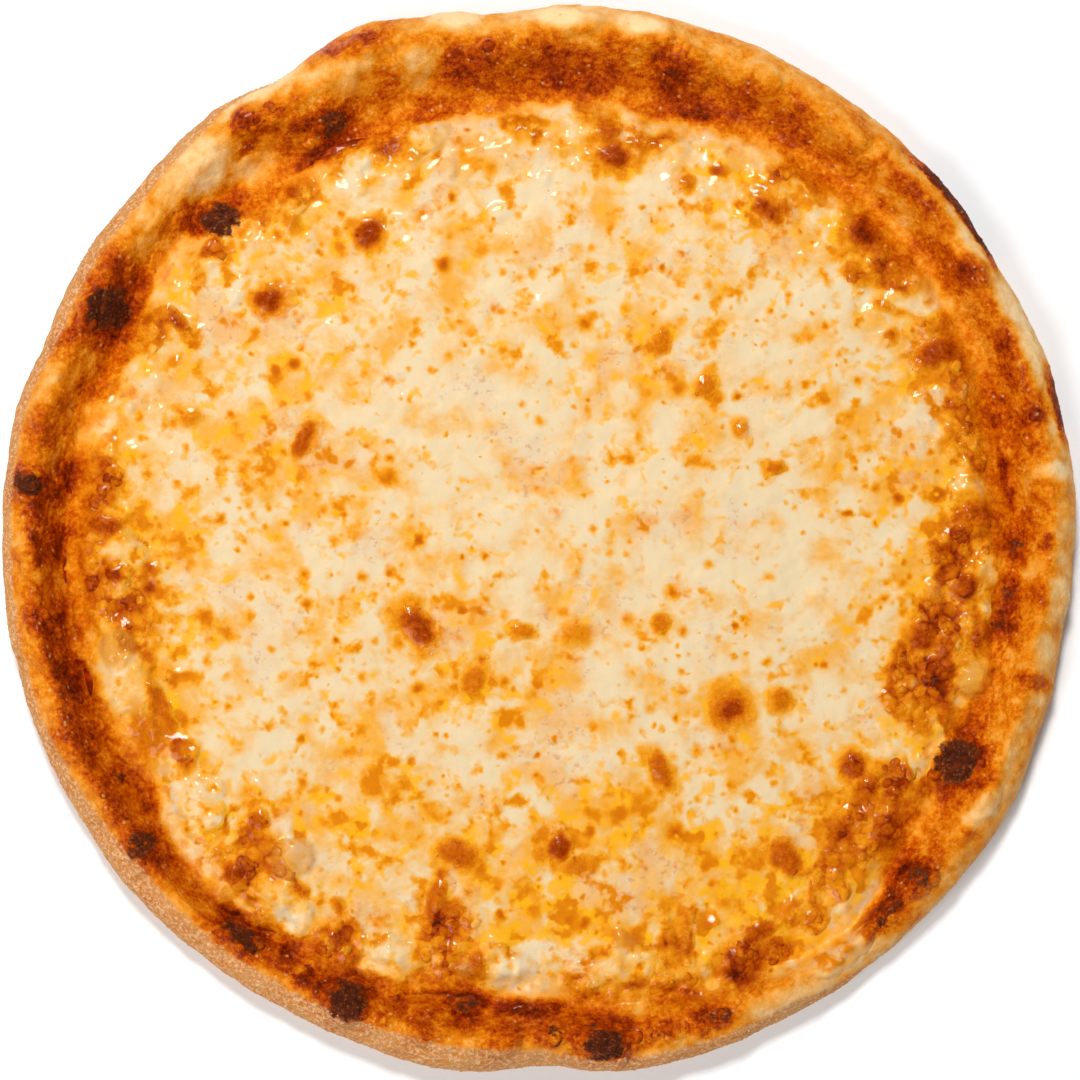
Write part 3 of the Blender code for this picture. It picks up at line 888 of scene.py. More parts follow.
# Where the cheese ends in a thick lip, and not in a thin film: (clock angle, share)
THICK_LIP = (
    (0, 0), (75, 0), (85, 0.8), (110, 1), (120, 0.3), (135, 0.1), (142, 0.6), (148, 0.3),
    (160, 0.1), (170, 0.7), (210, 0.9), (225, 0.6), (262, 0.8), (275, 0.2), (300, 0.1),
    (320, 0.3), (328, 1), (344, 0.9), (350, 0.2), (360, 0),
)  # fmt: skip
# How brown the margin of the cheese is: (clock angle, share)
MARGIN_BROWNING = (
    (0, 0.3), (15, 0.75), (45, 0.85), (70, 0.9), (100, 1), (130, 1), (138, 0.5), (145, 0.1),
    (155, 0.2), (165, 0.6), (180, 0.5), (200, 0.8), (218, 0.4), (230, 0.5), (245, 0.75),
    (270, 0.95), (300, 0.85), (312, 0.4), (325, 0.6), (340, 0.6), (352, 0.3), (360, 0.3),
)  # fmt: skip
# Browned blisters: (clock angle, radius, length along, width across, bake, height)
CHEESE_BLISTERS = (
    (9, 115, 7, 9, 0.66, 0.6), (10.5, 108.3, 10, 7, 0.8, 0.8), (22, 107, 6, 5, 0.6, 0.4),
    (31.3, 63.3, 5, 10, 0.6, 0.4), (34.6, 110.8, 11, 6, 0.76, 0.9),
    (46.3, 125.5, 11, 13, 0.8, 1.8), (47.2, 61.6, 6, 8, 0.62, 0.5),
    (50.9, 119.7, 6, 6, 0.64, 0.6), (52.4, 129.4, 9, 5, 0.72, 0.9), (61.8, 62.6, 6, 5, 0.56, 0.4),
    (62, 128, 6, 7, 0.62, 1.0), (65, 122.5, 9, 14, 0.79, 1.8), (73.7, 67.4, 4, 5, 0.64, 0.4),
    (80.5, 124, 8, 7, 0.74, 1.2), (88, 121, 14, 12, 0.72, 1.0), (97, 118, 9, 8, 0.8, 1.2),
    (103, 125, 9, 8, 0.72, 1.6), (105, 109.5, 10, 9, 0.79, 1.6), (109, 117, 11, 9, 0.78, 1.8),
    (112, 105, 6, 5, 0.7, 0.6), (124.8, 80.5, 7, 7, 0.62, 0.4), (126.7, 107.5, 7, 8, 0.78, 0.9),
    (127, 40.8, 6, 5, 0.62, 0.5), (130.5, 127, 15, 12, 0.79, 2.0), (133, 71, 7, 7, 0.8, 0.8),
    (133, 70.4, 13, 12, 0.64, 0.5), (143, 112, 8, 12, 0.7, 0.9), (152, 125.5, 14, 5, 0.74, 0.7),
    (153.7, 73.1, 6, 12, 0.68, 0.7), (155.4, 132, 12, 13, 0.79, 1.6),
    (161.4, 28.8, 11, 7, 0.55, 0.3), (174, 92.5, 11, 6, 0.6, 0.3), (177.2, 86.8, 6, 7, 0.81, 0.8),
    (189, 121, 6, 10, 0.68, 1.0), (192.8, 27.7, 8, 4, 0.6, 0.4), (194.8, 91.7, 13, 8, 0.68, 0.6),
    (196.5, 106, 6, 14, 0.68, 1.1), (205.6, 45.1, 7, 10, 0.62, 0.4), (207, 131, 9, 12, 0.64, 1.2),
    (222, 126, 10, 8, 0.76, 1.2), (225, 111.5, 7, 6, 0.7, 0.9), (233.6, 43.3, 13, 8, 0.78, 1.2),
    (243, 122, 15, 12, 0.62, 0.8), (245, 116, 20, 5, 0.66, 0.8), (255, 122, 12, 11, 0.38, 0.2),
    (264.5, 119.5, 6, 6, 0.78, 0.7), (271, 122, 7, 11, 0.76, 1.2),
    (288.2, 103.3, 6, 7, 0.56, 0.5), (291.7, 71.7, 12, 5, 0.72, 0.5),
    (310.6, 100.6, 8, 8, 0.81, 1.3), (321, 112, 5, 9, 0.55, 0.6), (324, 119.5, 7, 6, 0.74, 0.9),
    (330, 97, 8, 8, 0.81, 1.3), (338.2, 118, 8, 9, 0.82, 1.2), (357, 116, 5, 5, 0.6, 0.4),
)  # fmt: skip
# Clear bubbles with a thin grey skin: (clock angle, radius, length along, width across, height)
CLEAR_BUBBLES = (
    (109, 127, 11, 11, 2.2), (169, 115, 8, 8, 1.2), (190.5, 122, 7, 7, 1.2),
    (217.8, 113, 12, 14, 2.4), (208, 135.5, 9, 5, 1.2), (222, 134, 7, 6, 1.2),
    (238, 123, 8, 5, 1.0), (247, 122, 8, 6, 1.0), (255, 122, 13, 12, 1.8),
    (290.5, 133.5, 9, 5, 1.0), (341, 112, 6, 8, 0.8), (5, 121, 14, 4, 0.5), (57, 128, 9, 7, 0.8),
    (98, 110, 8, 8, 0.8),
)  # fmt: skip
# Curds that kept their thickness, with a step at their edge, as rows like those of the bubbles
CURDS = (
    (250, 123, 36, 15, 1.7), (232, 121, 20, 13, 1.5), (214, 125, 18, 12, 1.4),
    (200, 124, 18, 12, 1.4), (186, 120, 20, 12, 1.2), (170, 121, 18, 10, 1.0),
    (98, 123, 26, 13, 1.6), (108, 126, 14, 11, 1.7), (84, 120, 14, 9, 1.0),
    (267, 117, 20, 11, 1.3), (322, 116, 16, 9, 1.0), (334, 117, 14, 8, 1.0),
    (343, 116, 14, 9, 1.0),
)  # fmt: skip
# Zones that are more orange, or creamier below zero:
# (clock angle, radius, length along, width across, amount)
OIL_ZONES = (
    (170, 95, 60, 45, 0.3), (205, 45, 32, 24, 0.28), (230, 35, 18, 14, 0.25),
    (285, 74, 30, 26, 0.28), (212, 90, 30, 24, 0.2), (28, 60, 24, 22, 0.22),
    (150, 112, 26, 22, 0.3), (267, 120, 40, 26, 0.4), (35, 106, 24, 12, 0.24),
    (133, 70, 20, 18, 0.2), (105, 117, 60, 26, 0.35), (66, 122, 24, 20, 0.25),
    (322, 118, 20, 12, 0.2), (100, 60, 66, 52, -0.24), (52, 94, 50, 50, -0.2),
    (330, 36, 44, 34, -0.24), (256, 76, 26, 24, -0.14), (235, 102, 34, 18, -0.22),
    (280, 108, 24, 20, -0.2), (200, 64, 18, 16, -0.18), (181, 119, 22, 14, -0.3),
    (5, 98, 60, 22, -0.14), (8, 121, 34, 8, -0.3), (315, 112, 20, 12, -0.2),
    (330, 108, 24, 12, -0.2), (118, 92, 20, 18, -0.3), (203, 124, 20, 12, -0.3),
)  # fmt: skip
# Zones where the sheet foamed up and browned, as rows like those above
FOAMY_ZONES = (
    (97, 119, 46, 22, 1.0), (112, 112, 20, 20, 1.0), (75, 125, 42, 14, 0.8),
    (50, 125, 30, 14, 0.7), (131, 124, 24, 18, 0.8), (155, 130, 16, 16, 0.6),
    (172, 124, 26, 14, 0.8), (193, 116, 18, 28, 0.8), (207, 128, 20, 16, 0.8),
    (222, 124, 18, 14, 0.8), (262, 120, 34, 22, 0.9), (248, 128, 26, 14, 0.7),
    (276, 126, 22, 16, 0.8), (290, 130, 22, 10, 0.7), (323, 119, 20, 10, 0.8),
    (338, 118, 22, 10, 0.6), (352, 128, 20, 10, 0.6), (15, 128, 30, 10, 0.6),
    (35, 128, 28, 12, 0.7),
)  # fmt: skip
# How much of the sheet is orange by its radius
OIL_BY_RADIUS = ((0, 0.2), (40, 0.22), (60, 0.26), (85, 0.3), (105, 0.4), (116, 0.52), (128, 0.66))


def cheese_edge(clock):
    """Radius at which the cheese ends."""
    return np.interp(clock, *zip(*CHEESE_EDGE))


# %% [markdown]
# ## The sheet of cheese
#
# Seen from above the melted sheet never folds under itself, so it is a height for each place on a
# square grid. Its margin dips below the dough, and where the two surfaces cross is the edge that we
# see. That gives a natural, uneven border without having to stitch two meshes together.

# %% A square grid inside an uneven edge
GRID_STEP = 0.82
MARGIN = 3.2  # how far the sheet goes on, dipping, past its visible edge
WALL_CLEARANCE = 1.5  # and how far it stays inside the outline
EDGE_ROUNDING = 2.2
EDGE_DIP = 0.3  # the drop at its visible edge
DIP_SLOPE = 0.9  # and how steeply it dips from there
FILM_THICKNESS = 0.3
LIP_THICKNESS = 1.6
SKIRT_HEIGHT = 2  # of the unseen underside, inside the dough
THINS_OVER = 13  # the sheet thins out toward its edge over this distance
BUBBLY_FROM = 98  # radius past which the sheet is bubbly all over
SMALL_BLISTER_COUNT = 330
SMALL_BLISTER_SEED = 8
SMALL_BLISTER_REACH = 11  # two in three lie no further than this inside the edge
SMALL_BLISTER_SIZES = (2.2, 5.5)


def small_blisters():
    """Seeded rows of small blisters, mostly near the rim, where the sheet is thin."""
    random = np.random.default_rng(SMALL_BLISTER_SEED)
    rows = []
    for _ in range(SMALL_BLISTER_COUNT):
        clock = random.uniform(0, 360)
        radius = cheese_edge(clock) - 1 - abs(random.normal(0, SMALL_BLISTER_REACH))
        size = random.uniform(*SMALL_BLISTER_SIZES)
        length = size * random.uniform(0.8, 1.5)
        rows.append((clock, radius, length, size, size * random.uniform(0.1, 0.22)))
    return rows


def sheet_grid():
    """(x, y) of the grid's points inside the margin, and its square faces."""
    count = int(PIZZA_RADIUS / GRID_STEP)
    line = np.arange(-count, count + 1) * GRID_STEP
    x, y = np.meshgrid(line, line)
    clock = np.degrees(np.arctan2(x, y)) % 360
    outline = swollen(clock, PIZZA_RADIUS, OUTLINE_SWELLS)
    inside = np.hypot(x, y) < np.minimum(cheese_edge(clock) + MARGIN, outline - WALL_CLEARANCE)
    square = inside[:-1, :-1] & inside[1:, :-1] & inside[:-1, 1:] & inside[1:, 1:]
    used = np.zeros_like(inside)
    for rows, columns in ((slice(0, -1), slice(0, -1)), (slice(1, None), slice(0, -1)),
                          (slice(0, -1), slice(1, None)), (slice(1, None), slice(1, None))):
        used[rows, columns] |= square
    number = np.cumsum(used).reshape(used.shape) - 1
    corners = (number[:-1, :-1], number[:-1, 1:], number[1:, 1:], number[1:, :-1])
    faces = np.stack([corner[square] for corner in corners], 1).tolist()
    return np.stack([x[used], y[used], np.zeros(used.sum())], 1), faces


def close_below(piece):
    """Closes an open sheet with a skirt straight down into the dough and a level underside."""
    bm = bmesh.new()
    bm.from_mesh(piece.data)
    rim = [edge for edge in bm.edges if edge.is_boundary]
    for share in (1, 0):
        grown = bmesh.ops.extrude_edge_only(bm, edges=rim)["geom"]
        rim = [item for item in grown if isinstance(item, bmesh.types.BMEdge) and item.is_boundary]
        for vertex in {vertex for edge in rim for vertex in edge.verts}:
            vertex.co = Vector((vertex.co.x * share, vertex.co.y * share, SKIRT_HEIGHT * MM))
    bmesh.ops.remove_doubles(bm, verts=bm.verts, dist=0.01 * MM)
    bmesh.ops.recalc_face_normals(bm, faces=bm.faces)
    bm.to_mesh(piece.data)
    bm.free()
    piece.data.shade_smooth()


# %% [markdown]
# ## How the sheet rises
#
# The sheet's height is the dough's height, plus its own thickness, plus everything that pushed it
# up: slow waves, lumps, foam, curds, blisters and clear bubbles. Each of these is one line below,
# so you can leave one out and see what it gave.

# %% How the sheet rises
FOAM_HEIGHT = 1.5
BIG_FOAM, SMALL_FOAM = (6.2, 30), (3.4, 37)  # (width of its bubbles in mm, seed)
cheese_points, cheese_faces = sheet_grid()
clock, radius = clock_and_radius(cheese_points)
foot = rim_places(clock)[0]
dough = smooth_dough_height(clock, radius)
cheese_points[:, 2] = dough
near_rim = radius > BUBBLY_FROM
dough[near_rim] += dough_relief(cheese_points[near_rim])
ragged_edge = 1.9 * clouds(cheese_points, 10, 3, 21) + 0.9 * clouds(cheese_points, 3, 2, 28)
inside_edge = cheese_edge(clock) + ragged_edge - radius
swirled = wandered(cheese_points, 5, 1.1, 23)
near_edge = smooth((radius - BUBBLY_FROM) / 22)
blister_rows = [row[:4] + (row[5],) for row in CHEESE_BLISTERS]
blown = domes(swirled, blister_rows, 1.3)
clear = domes(swirled, CLEAR_BUBBLES, 0.8)
bubbles = domes(swirled, small_blisters())
curdled = wandered(cheese_points, 7, 3.6, 39)
curds = domes(curdled, CURDS, 0.45)
scattered = smooth(0.3 + 1.6 * clouds(cheese_points, 13, 2, 29)) * near_edge
foamy = np.maximum(patches(wandered(cheese_points, 9, 4, 36), FOAMY_ZONES, 0.7), 0.7 * scattered)
foam = np.zeros(len(cheese_points))
big_foam, small_foam = (cobbles(swirled[near_rim], *kind) for kind in (BIG_FOAM, SMALL_FOAM))
foam[near_rim] = np.maximum(big_foam, 0.8 * small_foam)
curd_share = patches(curdled, [row[:4] + (1.0,) for row in CURDS], 0.4)
foam *= np.maximum(foamy, 0.7 * curd_share)
sheet_waves = 0.7 * clouds(cheese_points, 26, 2, 24) + 0.28 * clouds(cheese_points, 7, 3, 25)
lumps = 0.6 * clouds(cheese_points, 6, 3, 26) + 0.2 * clouds(cheese_points, 2.4, 2, 27)
fullness = SAUCE_THICKNESS + CHEESE_THICKNESS
lip = np.interp(clock, *zip(*THICK_LIP))
lowest = FILM_THICKNESS + (LIP_THICKNESS - FILM_THICKNESS) * lip
thickening = smooth(inside_edge / THINS_OVER)
sheet = lowest + (fullness - lowest) * thickening
blisters = np.maximum(np.maximum(blown, clear), bubbles)
bumps = sheet_waves + near_edge * lumps + FOAM_HEIGHT * foam + curds + blisters
rounded = np.sqrt(1 - (1 - np.clip(inside_edge / EDGE_ROUNDING, 0, 1)) ** 2)
above = np.maximum(sheet + bumps * (lip + (1 - lip) * thickening), lowest) * rounded
above = np.where(inside_edge > 0, above, -EDGE_DIP + DIP_SLOPE * inside_edge)
cheese_points[:, 2] = dough + above

print(f"sheet: up to {above.max():.1f} mm over the dough")

# %% [markdown]
# ## How brown the sheet is
#
# A blister toasts darkest at its top and leaves a golden ring of fat round it. Froth browns all
# over, with painted shade in its hollows, curds stay creamy with a seam of painted shade round
# them, and the film at the edge takes the colour of the dough under it.

# %% The sheet's colours
TOAST_SPREAD = 1.25  # a blister is toasted a little past its foot
HALO_SPREAD = 1.8  # and its ring of fat is this much wider again where it's darkest
bake, char = browning(cheese_points)
blister_bake = [
    (clock, radius, length * TOAST_SPREAD, width * TOAST_SPREAD, bake)
    for clock, radius, length, width, bake, _ in CHEESE_BLISTERS
]
halo_rows = [
    (clock, radius, length * HALO_SPREAD * bake, width * HALO_SPREAD * bake, 0.24 + 0.38 * bake)
    for clock, radius, length, width, bake in blister_bake
]
swirled = wandered(cheese_points, 4, 1.2, 31)
stirred = wandered(cheese_points, 5, 3.2, 35)
spots = np.maximum(patches(swirled, blister_bake, 0.62), patches(stirred, halo_rows, 0.4))
rim_bake = (0.45 + bake) * smooth((radius - foot + 6) / 8) * smooth(abs(bake) / 0.2)
browning_here = np.interp(clock, *zip(*MARGIN_BROWNING))
# froth browns, curds stay creamy on top, and painted shade darkens the seam round a curd
seam_shade = 4 * curd_share * (1 - curd_share) * smooth(0.6 + clouds(cheese_points, 11, 2, 40))
# the hollows between the froth's lumps are a little darker: painted shade
froth_tone = 0.54 + 0.1 * (0.5 - foam) + 0.2 * clouds(cheese_points, 9, 3, 38) + 0.1 * browning_here
froth_tone = froth_tone * (1 - 0.5 * curd_share) + 0.08 * seam_shade
toasted = froth_tone * smooth(np.maximum(foamy, seam_shade * 0.7) * 1.5)
brown = np.maximum(np.maximum(spots, rim_bake), toasted)
film = 1 - smooth(inside_edge / (2.5 + 11 * browning_here * (1 - 0.7 * curd_share)))
like_dough = dough_bake(cheese_points) + bake
brown = brown * (1 - film) + np.maximum(like_dough, 0.2) * film
oil = np.interp(radius, *zip(*OIL_BY_RADIUS)) + patches(swirled, OIL_ZONES, 0.7)
oil *= (1 - film) * (1 - 0.5 * curd_share)
frothy = foamy * (1 - 0.5 * curd_share) * (1 - 0.6 * film) * smooth((inside_edge - 2) / 3)
steamy = 0.05 + 0.7 * patches(stirred, halo_rows, 0.5) + 0.3 * frothy
steamy *= smooth((inside_edge - 2) / 2)
values = {"bake": brown, "oil": np.clip(oil, 0, 1), "clear": np.minimum(clear, 1), "char": char}
values |= {"foamy": frothy, "steamy": steamy, "film": film, "froth": smooth((frothy - 0.3) / 0.5)}
cheese = add_piece("melted_cheese", cheese_points, cheese_faces, cheese_material, values)
close_below(cheese)
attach(cheese, "root")
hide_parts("cheese")
print(f"cheese: {len(cheese.data.polygons)} faces")

# %% [markdown]
# ## Tomato sauce
#
# Cooked passata is dark red, wet and a little lumpy. It shows only as a thin line, wherever the
# cheese has drawn back from the rim. So there is no need to model it to the centre in detail: a
# ring of fine rows follows the edge of the cheese, and wide fans close it above and below.

# %% Tomato sauce
SAUCE_SPOKES = 900
SAUCE_ROWS = 26
SAUCE_INNER = 112
SAUCE_HIDES = 6.5  # how far the sauce ends inside the cheese's edge
SAUCE_MARGIN = 2  # how far it goes on, dipping, past its own edge
SAUCE_ROUNDING = 2
SAUCE_DIP = 0.2
SAUCE_SLOPE = 0.5
# Where it reaches further out: (clock angle, half width in degrees, millimetres)
SAUCE_SHOWS = (
    (98, 8, 7.2), (185, 7, 7.6), (208, 4, 7.4), (251, 9, 7.4), (266, 5, 6.8), (277, 4, 7.0),
    (332, 9, 7.8),
)  # fmt: skip


def tomato_sauce():
    """Passata cooked down: dark red pulp in a glossy syrup."""
    material, tree, shader, where = new_material("cooked_tomato_sauce")
    pulp = add(tree, NOISE, {"Vector": where, "Scale": per_mm(3), "Detail": 5, "Roughness": 0.6})
    color = add(tree, RAMP, {0: pulp}, stops=((0.3, "#4A0A02"), (0.5, "#7A1A02"), (0.7, "#A63306")))
    tree.links.new(color, shader.inputs["Base Color"])
    set_all_over(shader, Roughness=0.32, Coat_Weight=0.15, Coat_Roughness=0.08)
    set_all_over(shader, Specular_IOR_Level=0.25, Specular_Tint=rgb("#FF9C5A"))
    bump = add(tree, "ShaderNodeBump", {"Strength": 0.6, "Distance": 0.5 * MM, "Height": pulp})
    tree.links.new(bump, shader.inputs["Normal"])
    return material


row_share = np.repeat(np.linspace(0, 1, SAUCE_ROWS), SAUCE_SPOKES)
clock = np.tile(np.arange(SAUCE_SPOKES) * 360 / SAUCE_SPOKES, SAUCE_ROWS)
sauce_edge = cheese_edge(clock) + swollen(clock, -SAUCE_HIDES, SAUCE_SHOWS)
radius = SAUCE_INNER + (sauce_edge + SAUCE_MARGIN - SAUCE_INNER) * row_share
turn = np.radians(clock)
dough = smooth_dough_height(clock, radius)
sauce_points = np.stack([radius * np.sin(turn), radius * np.cos(turn), dough], 1)
rounded = np.sqrt(np.clip((sauce_edge - radius) / SAUCE_ROUNDING, 0, 1))
lumpy = 0.75 + 0.25 * clouds(sauce_points, 3, 3, 41)
dip = -SAUCE_SLOPE * (radius - sauce_edge) - SAUCE_DIP
above = np.where(radius > sauce_edge, dip, lumpy * rounded)
sauce_points[:, 2] += dough_relief(sauce_points) + above
under_points = sauce_points[-SAUCE_SPOKES:] * (1, 1, 0) + (0, 0, SKIRT_HEIGHT)
poles = np.array([[0, 0, DOUGH_THICKNESS + SAUCE_THICKNESS], [0, 0, SKIRT_HEIGHT]])
sauce = add_piece(
    "tomato_sauce_layer",
    np.concatenate([sauce_points, under_points, poles]),
    closed_sheet(SAUCE_ROWS + 1, SAUCE_SPOKES),
    tomato_sauce(),
    {},
)
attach(sauce, "root")
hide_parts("sauce")
print(f"sauce: {len(sauce.data.polygons)} faces")

# %% [markdown]
# ## Small things by the hundred
#
# Steam bubbles in the cheese, crumbs in the roast, grains of flour and flakes of char are all small
# lumps strewn over a surface. One node tree does that: it scatters points where a named weight is
# high, puts a lump on each and makes the lump rugged. Strewn by rule, they follow the surface, and
# the seed keeps them where they are. The points carry the surface's own values, so each lump is
# coloured like the place it sits on.

# %% The node tree that strews lumps
SIZES = ("Density", "Smallest", "Largest", "Flatness", "Sunk", "Ruggedness")
# the first tone darkens a lump round its foot as painted shade, the second is its own random tone
TONES = ("Foot Shade", "Own Browning")
COUNTS = ("Segments", "Rings", "Seed")
NAMED_VALUE = "GeometryNodeInputNamedAttribute"
STORE_VALUE = "GeometryNodeStoreNamedAttribute"
SIZE_SEED = 50.0  # added to the seed for the roll that gives a lump its size
MANY_TURNS = 997.0  # so many that a lump's turn has nothing to do with its size


def lump_tree():
    """Strews rugged lumps over a ground, where the named weight is high."""
    tree = bpy.data.node_groups.new("strewn_lumps", "GeometryNodeTree")
    sockets = [("Ground", "Geometry"), ("Weight", "String"), ("Material", "Material")]
    sockets += [(name, "Float") for name in SIZES + TONES] + [(name, "Int") for name in COUNTS]
    for name, kind in sockets:
        tree.interface.new_socket(name, in_out="INPUT", socket_type="NodeSocket" + kind)
    tree.interface.new_socket("Lumps", in_out="OUTPUT", socket_type="NodeSocketGeometry")
    given = add(tree, "NodeGroupInput").node.outputs
    weight = add(tree, NAMED_VALUE, {"Name": given["Weight"]}, data_type="FLOAT")
    density = add(tree, MATH, {0: given["Density"], 1: weight}, operation="MULTIPLY")
    inputs = {"Mesh": given["Ground"], "Density": density, "Seed": given["Seed"]}
    points = add(tree, "GeometryNodeDistributePointsOnFaces", inputs)
    turned = points.node.outputs["Rotation"]
    # each lump is a little browner or paler than its place
    dice = add(tree, "FunctionNodeRandomValue", {"Seed": given["Seed"]}, output=1)
    own = add(tree, MATH, {0: dice, 1: 0.5}, operation="SUBTRACT")
    stored = {"Geometry": points, "Name": "own", "Value": own}
    points = add(tree, STORE_VALUE, stored, data_type="FLOAT", domain="POINT")
    # many small ones and few large ones, each turned its own way
    other_seed = add(tree, MATH, {0: given["Seed"], 1: SIZE_SEED}, operation="ADD")
    dice = add(tree, "FunctionNodeRandomValue", {"Seed": other_seed}, output=1)
    rare = add(tree, MATH, {0: dice, 1: 2.2}, operation="POWER")
    size = add(tree, RANGE, {0: rare, 3: given["Smallest"], 4: given["Largest"]})
    height = add(tree, MATH, {0: size, 1: given["Flatness"]}, operation="MULTIPLY")
    scale = add(tree, "ShaderNodeCombineXYZ", {0: size, 1: size, 2: height})
    turn = add(tree, MATH, {0: dice, 1: MANY_TURNS}, operation="MULTIPLY")
    spin = add(tree, "ShaderNodeCombineXYZ", {2: turn})
    spun = add(tree, "FunctionNodeRotateRotation", {0: turned, 1: spin}, rotation_space="LOCAL")
    roundness = {"Segments": given["Segments"], "Rings": given["Rings"]}
    ball = add(tree, "GeometryNodeMeshUVSphere", roundness)
    local_place = add(tree, "GeometryNodeInputPosition")
    local_height = add(tree, "ShaderNodeSeparateXYZ", {0: local_place}, output="Z")
    # 1 round the lump's foot, where the painted shade goes
    low = add(tree, RANGE, {0: local_height, 1: 0.9, 2: 0.1}, **SMOOTH)
    stored = {"Geometry": ball, "Name": "low", "Value": low}
    ball = add(tree, STORE_VALUE, stored, data_type="FLOAT", domain="POINT")
    inputs = {"Points": points, "Instance": ball, "Rotation": spun, "Scale": scale}
    lumps = add(tree, "GeometryNodeInstanceOnPoints", inputs)
    sunk = add(tree, MATH, {0: given["Sunk"], 1: -1.0}, operation="MULTIPLY")
    down = add(tree, "ShaderNodeCombineXYZ", {2: sunk})
    lumps = add(tree, "GeometryNodeTranslateInstances", {"Instances": lumps, "Translation": down})
    lumps = add(tree, "GeometryNodeRealizeInstances", {0: lumps})
    # uneven all over, and darker round the foot: painted shade where each lump meets its ground
    coarse = add(tree, MATH, {0: 1.0, 1: given["Largest"]}, operation="DIVIDE")
    cloud = add(tree, NOISE, {"Scale": coarse, "Detail": 1}, output="Color")
    centred = add(tree, VECTOR, {0: cloud, 1: (0.5, 0.5, 0.5)}, operation="SUBTRACT")
    offset = add(tree, VECTOR, {0: centred, "Scale": given["Ruggedness"]}, operation="SCALE")
    lumps = add(tree, "GeometryNodeSetPosition", {"Geometry": lumps, "Offset": offset})
    named = {}
    for name in ("bake", "low", "own"):
        named[name] = add(tree, NAMED_VALUE, {"Name": name}, data_type="FLOAT")
    tone = named["bake"]
    for name, amount in zip(("low", "own"), TONES):
        inputs = {0: named[name], 1: given[amount], 2: tone}
        tone = add(tree, MATH, inputs, operation="MULTIPLY_ADD")
    stored = {"Geometry": lumps, "Name": "bake", "Value": tone}
    lumps = add(tree, STORE_VALUE, stored, data_type="FLOAT", domain="POINT")
    lumps = add(tree, "GeometryNodeSetShadeSmooth", {"Geometry": lumps})
    lumps = add(tree, "GeometryNodeSetMaterial", {"Geometry": lumps, "Material": given["Material"]})
    add(tree, "NodeGroupOutput", {0: lumps})
    return tree


LUMP_TREE = lump_tree()
print(f"{LUMP_TREE.name}: {len(LUMP_TREE.nodes)} nodes")


def strewn(name, ground, slot, material, weight, density, sizes, **settings):
    """A piece of lumps strewn over another, this dense to a square metre where the weight is 1."""
    piece = bpy.data.objects.new(name, ground.data.copy())
    bpy.context.scene.collection.objects.link(piece)
    strew = piece.modifiers.new("Strew", "NODES")
    strew.node_group = LUMP_TREE
    smallest, largest = sizes
    settings |= {"Material": material, "Weight": weight, "Density": density}
    settings |= {"Smallest": smallest * MM, "Largest": largest * MM}
    for item in LUMP_TREE.interface.items_tree:
        if item.name in settings:
            strew[item.identifier] = settings[item.name]
    graph = bpy.context.evaluated_depsgraph_get()
    mesh = bpy.data.meshes.new_from_object(piece.evaluated_get(graph))
    piece.modifiers.remove(strew)
    piece.data = mesh
    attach(piece, "root")
    print(f"{name}: {len(mesh.polygons)} faces")


# %% [markdown]
# ## Bubbles
#
# Steam leaves the cheese in bubbles from half a millimetre to five across, and they set as it
# cools. Each is a flattened ball, mostly sunk, so that only its cap shows, with sixty faces because
# there are hundreds of them. The wet ones catch the light as small glints.

# %% Bubbles in the cheese
# a little painted shade round the foot of each bubble
BUBBLE = {"Segments": 10, "Rings": 6, "Foot Shade": 0.02, "Own Browning": 0.2}
strewn("froth_bubbles", cheese, "cheese", cheese_material, "froth", density=90000.0,
       sizes=(0.6, 2.4), Flatness=0.45, Sunk=0.55, Ruggedness=1.5 * MM, Seed=3, **BUBBLE)
strewn("steam_bubbles", cheese, "cheese", cheese_material, "steamy", density=50000.0,
       sizes=(0.3, 0.7), Flatness=0.5, Sunk=0.3, Ruggedness=0.1 * MM, Seed=4, **BUBBLE)
strewn("rim_bubbles", crust, "crust", dough_material, "bubbly", density=70000.0,
       sizes=(0.7, 2.4), Flatness=0.55, Sunk=0.4, Ruggedness=1.2 * MM, Seed=6, **BUBBLE)


# %% [markdown]
# ## Crumbs, flour and flakes
#
# Close up, a baked crust is dry and gritty: crumbs stand up in the roast, coarse flour sticks to
# the outer wall, and char comes away in flakes. They are grains of 15 faces each, drawn two or
# three times as coarse as real flour, which would be too fine to show. As a bump in the material
# they would vanish from the outline, where grit shows best.

# %% Crumbs, flour and flakes on the crust
def bench_flour():
    """Coarse wheat flour, toasted here and there: grains from straw to off-white."""
    material, tree, shader, where = new_material("bench_flour")
    cloud = add(tree, NOISE, {"Vector": where, "Scale": per_mm(1.5), "Detail": 3, "Roughness": 0.6})
    stops = ((0.3, "#A8703F"), (0.5, "#D3A070"), (0.7, "#E9C79C"))
    color = add(tree, RAMP, {0: cloud}, stops=stops)
    tree.links.new(color, shader.inputs["Base Color"])
    set_all_over(shader, Roughness=0.95, Specular_IOR_Level=0.1)
    return material


CRUMB = {"Segments": 5, "Rings": 3, "Sunk": 0.1, "Foot Shade": 0.0, "Own Browning": 0.3}
strewn("roast_crumbs", crust, "crust", dough_material, "roasted", density=200000.0,
       sizes=(0.15, 0.5), Flatness=0.6, Ruggedness=0.3 * MM, Seed=5, **CRUMB)
strewn("flour_grains", crust, "crust", bench_flour(), "powdery", density=450000.0,
       sizes=(0.12, 0.4), Flatness=0.7, Ruggedness=0.2 * MM, Seed=7, **CRUMB)
strewn("char_flakes", crust, "crust", dough_material, "flaky", density=120000.0,
       sizes=(0.4, 1.0), Flatness=0.4, Ruggedness=0.6 * MM, Seed=11, **CRUMB)

# %% [markdown]
# ## Floor, light and camera
#
# A soft light stands behind the pizza and high up, so that the bubbles throw small soft shadows
# towards us and catch a glint. A larger one on the other side and a pale world fill the shadows in.
# The world is darker straight above, because oil would mirror it there as a grey veil. The camera
# looks down on the round from almost straight above, with a long lens so that the rim doesn't lean.

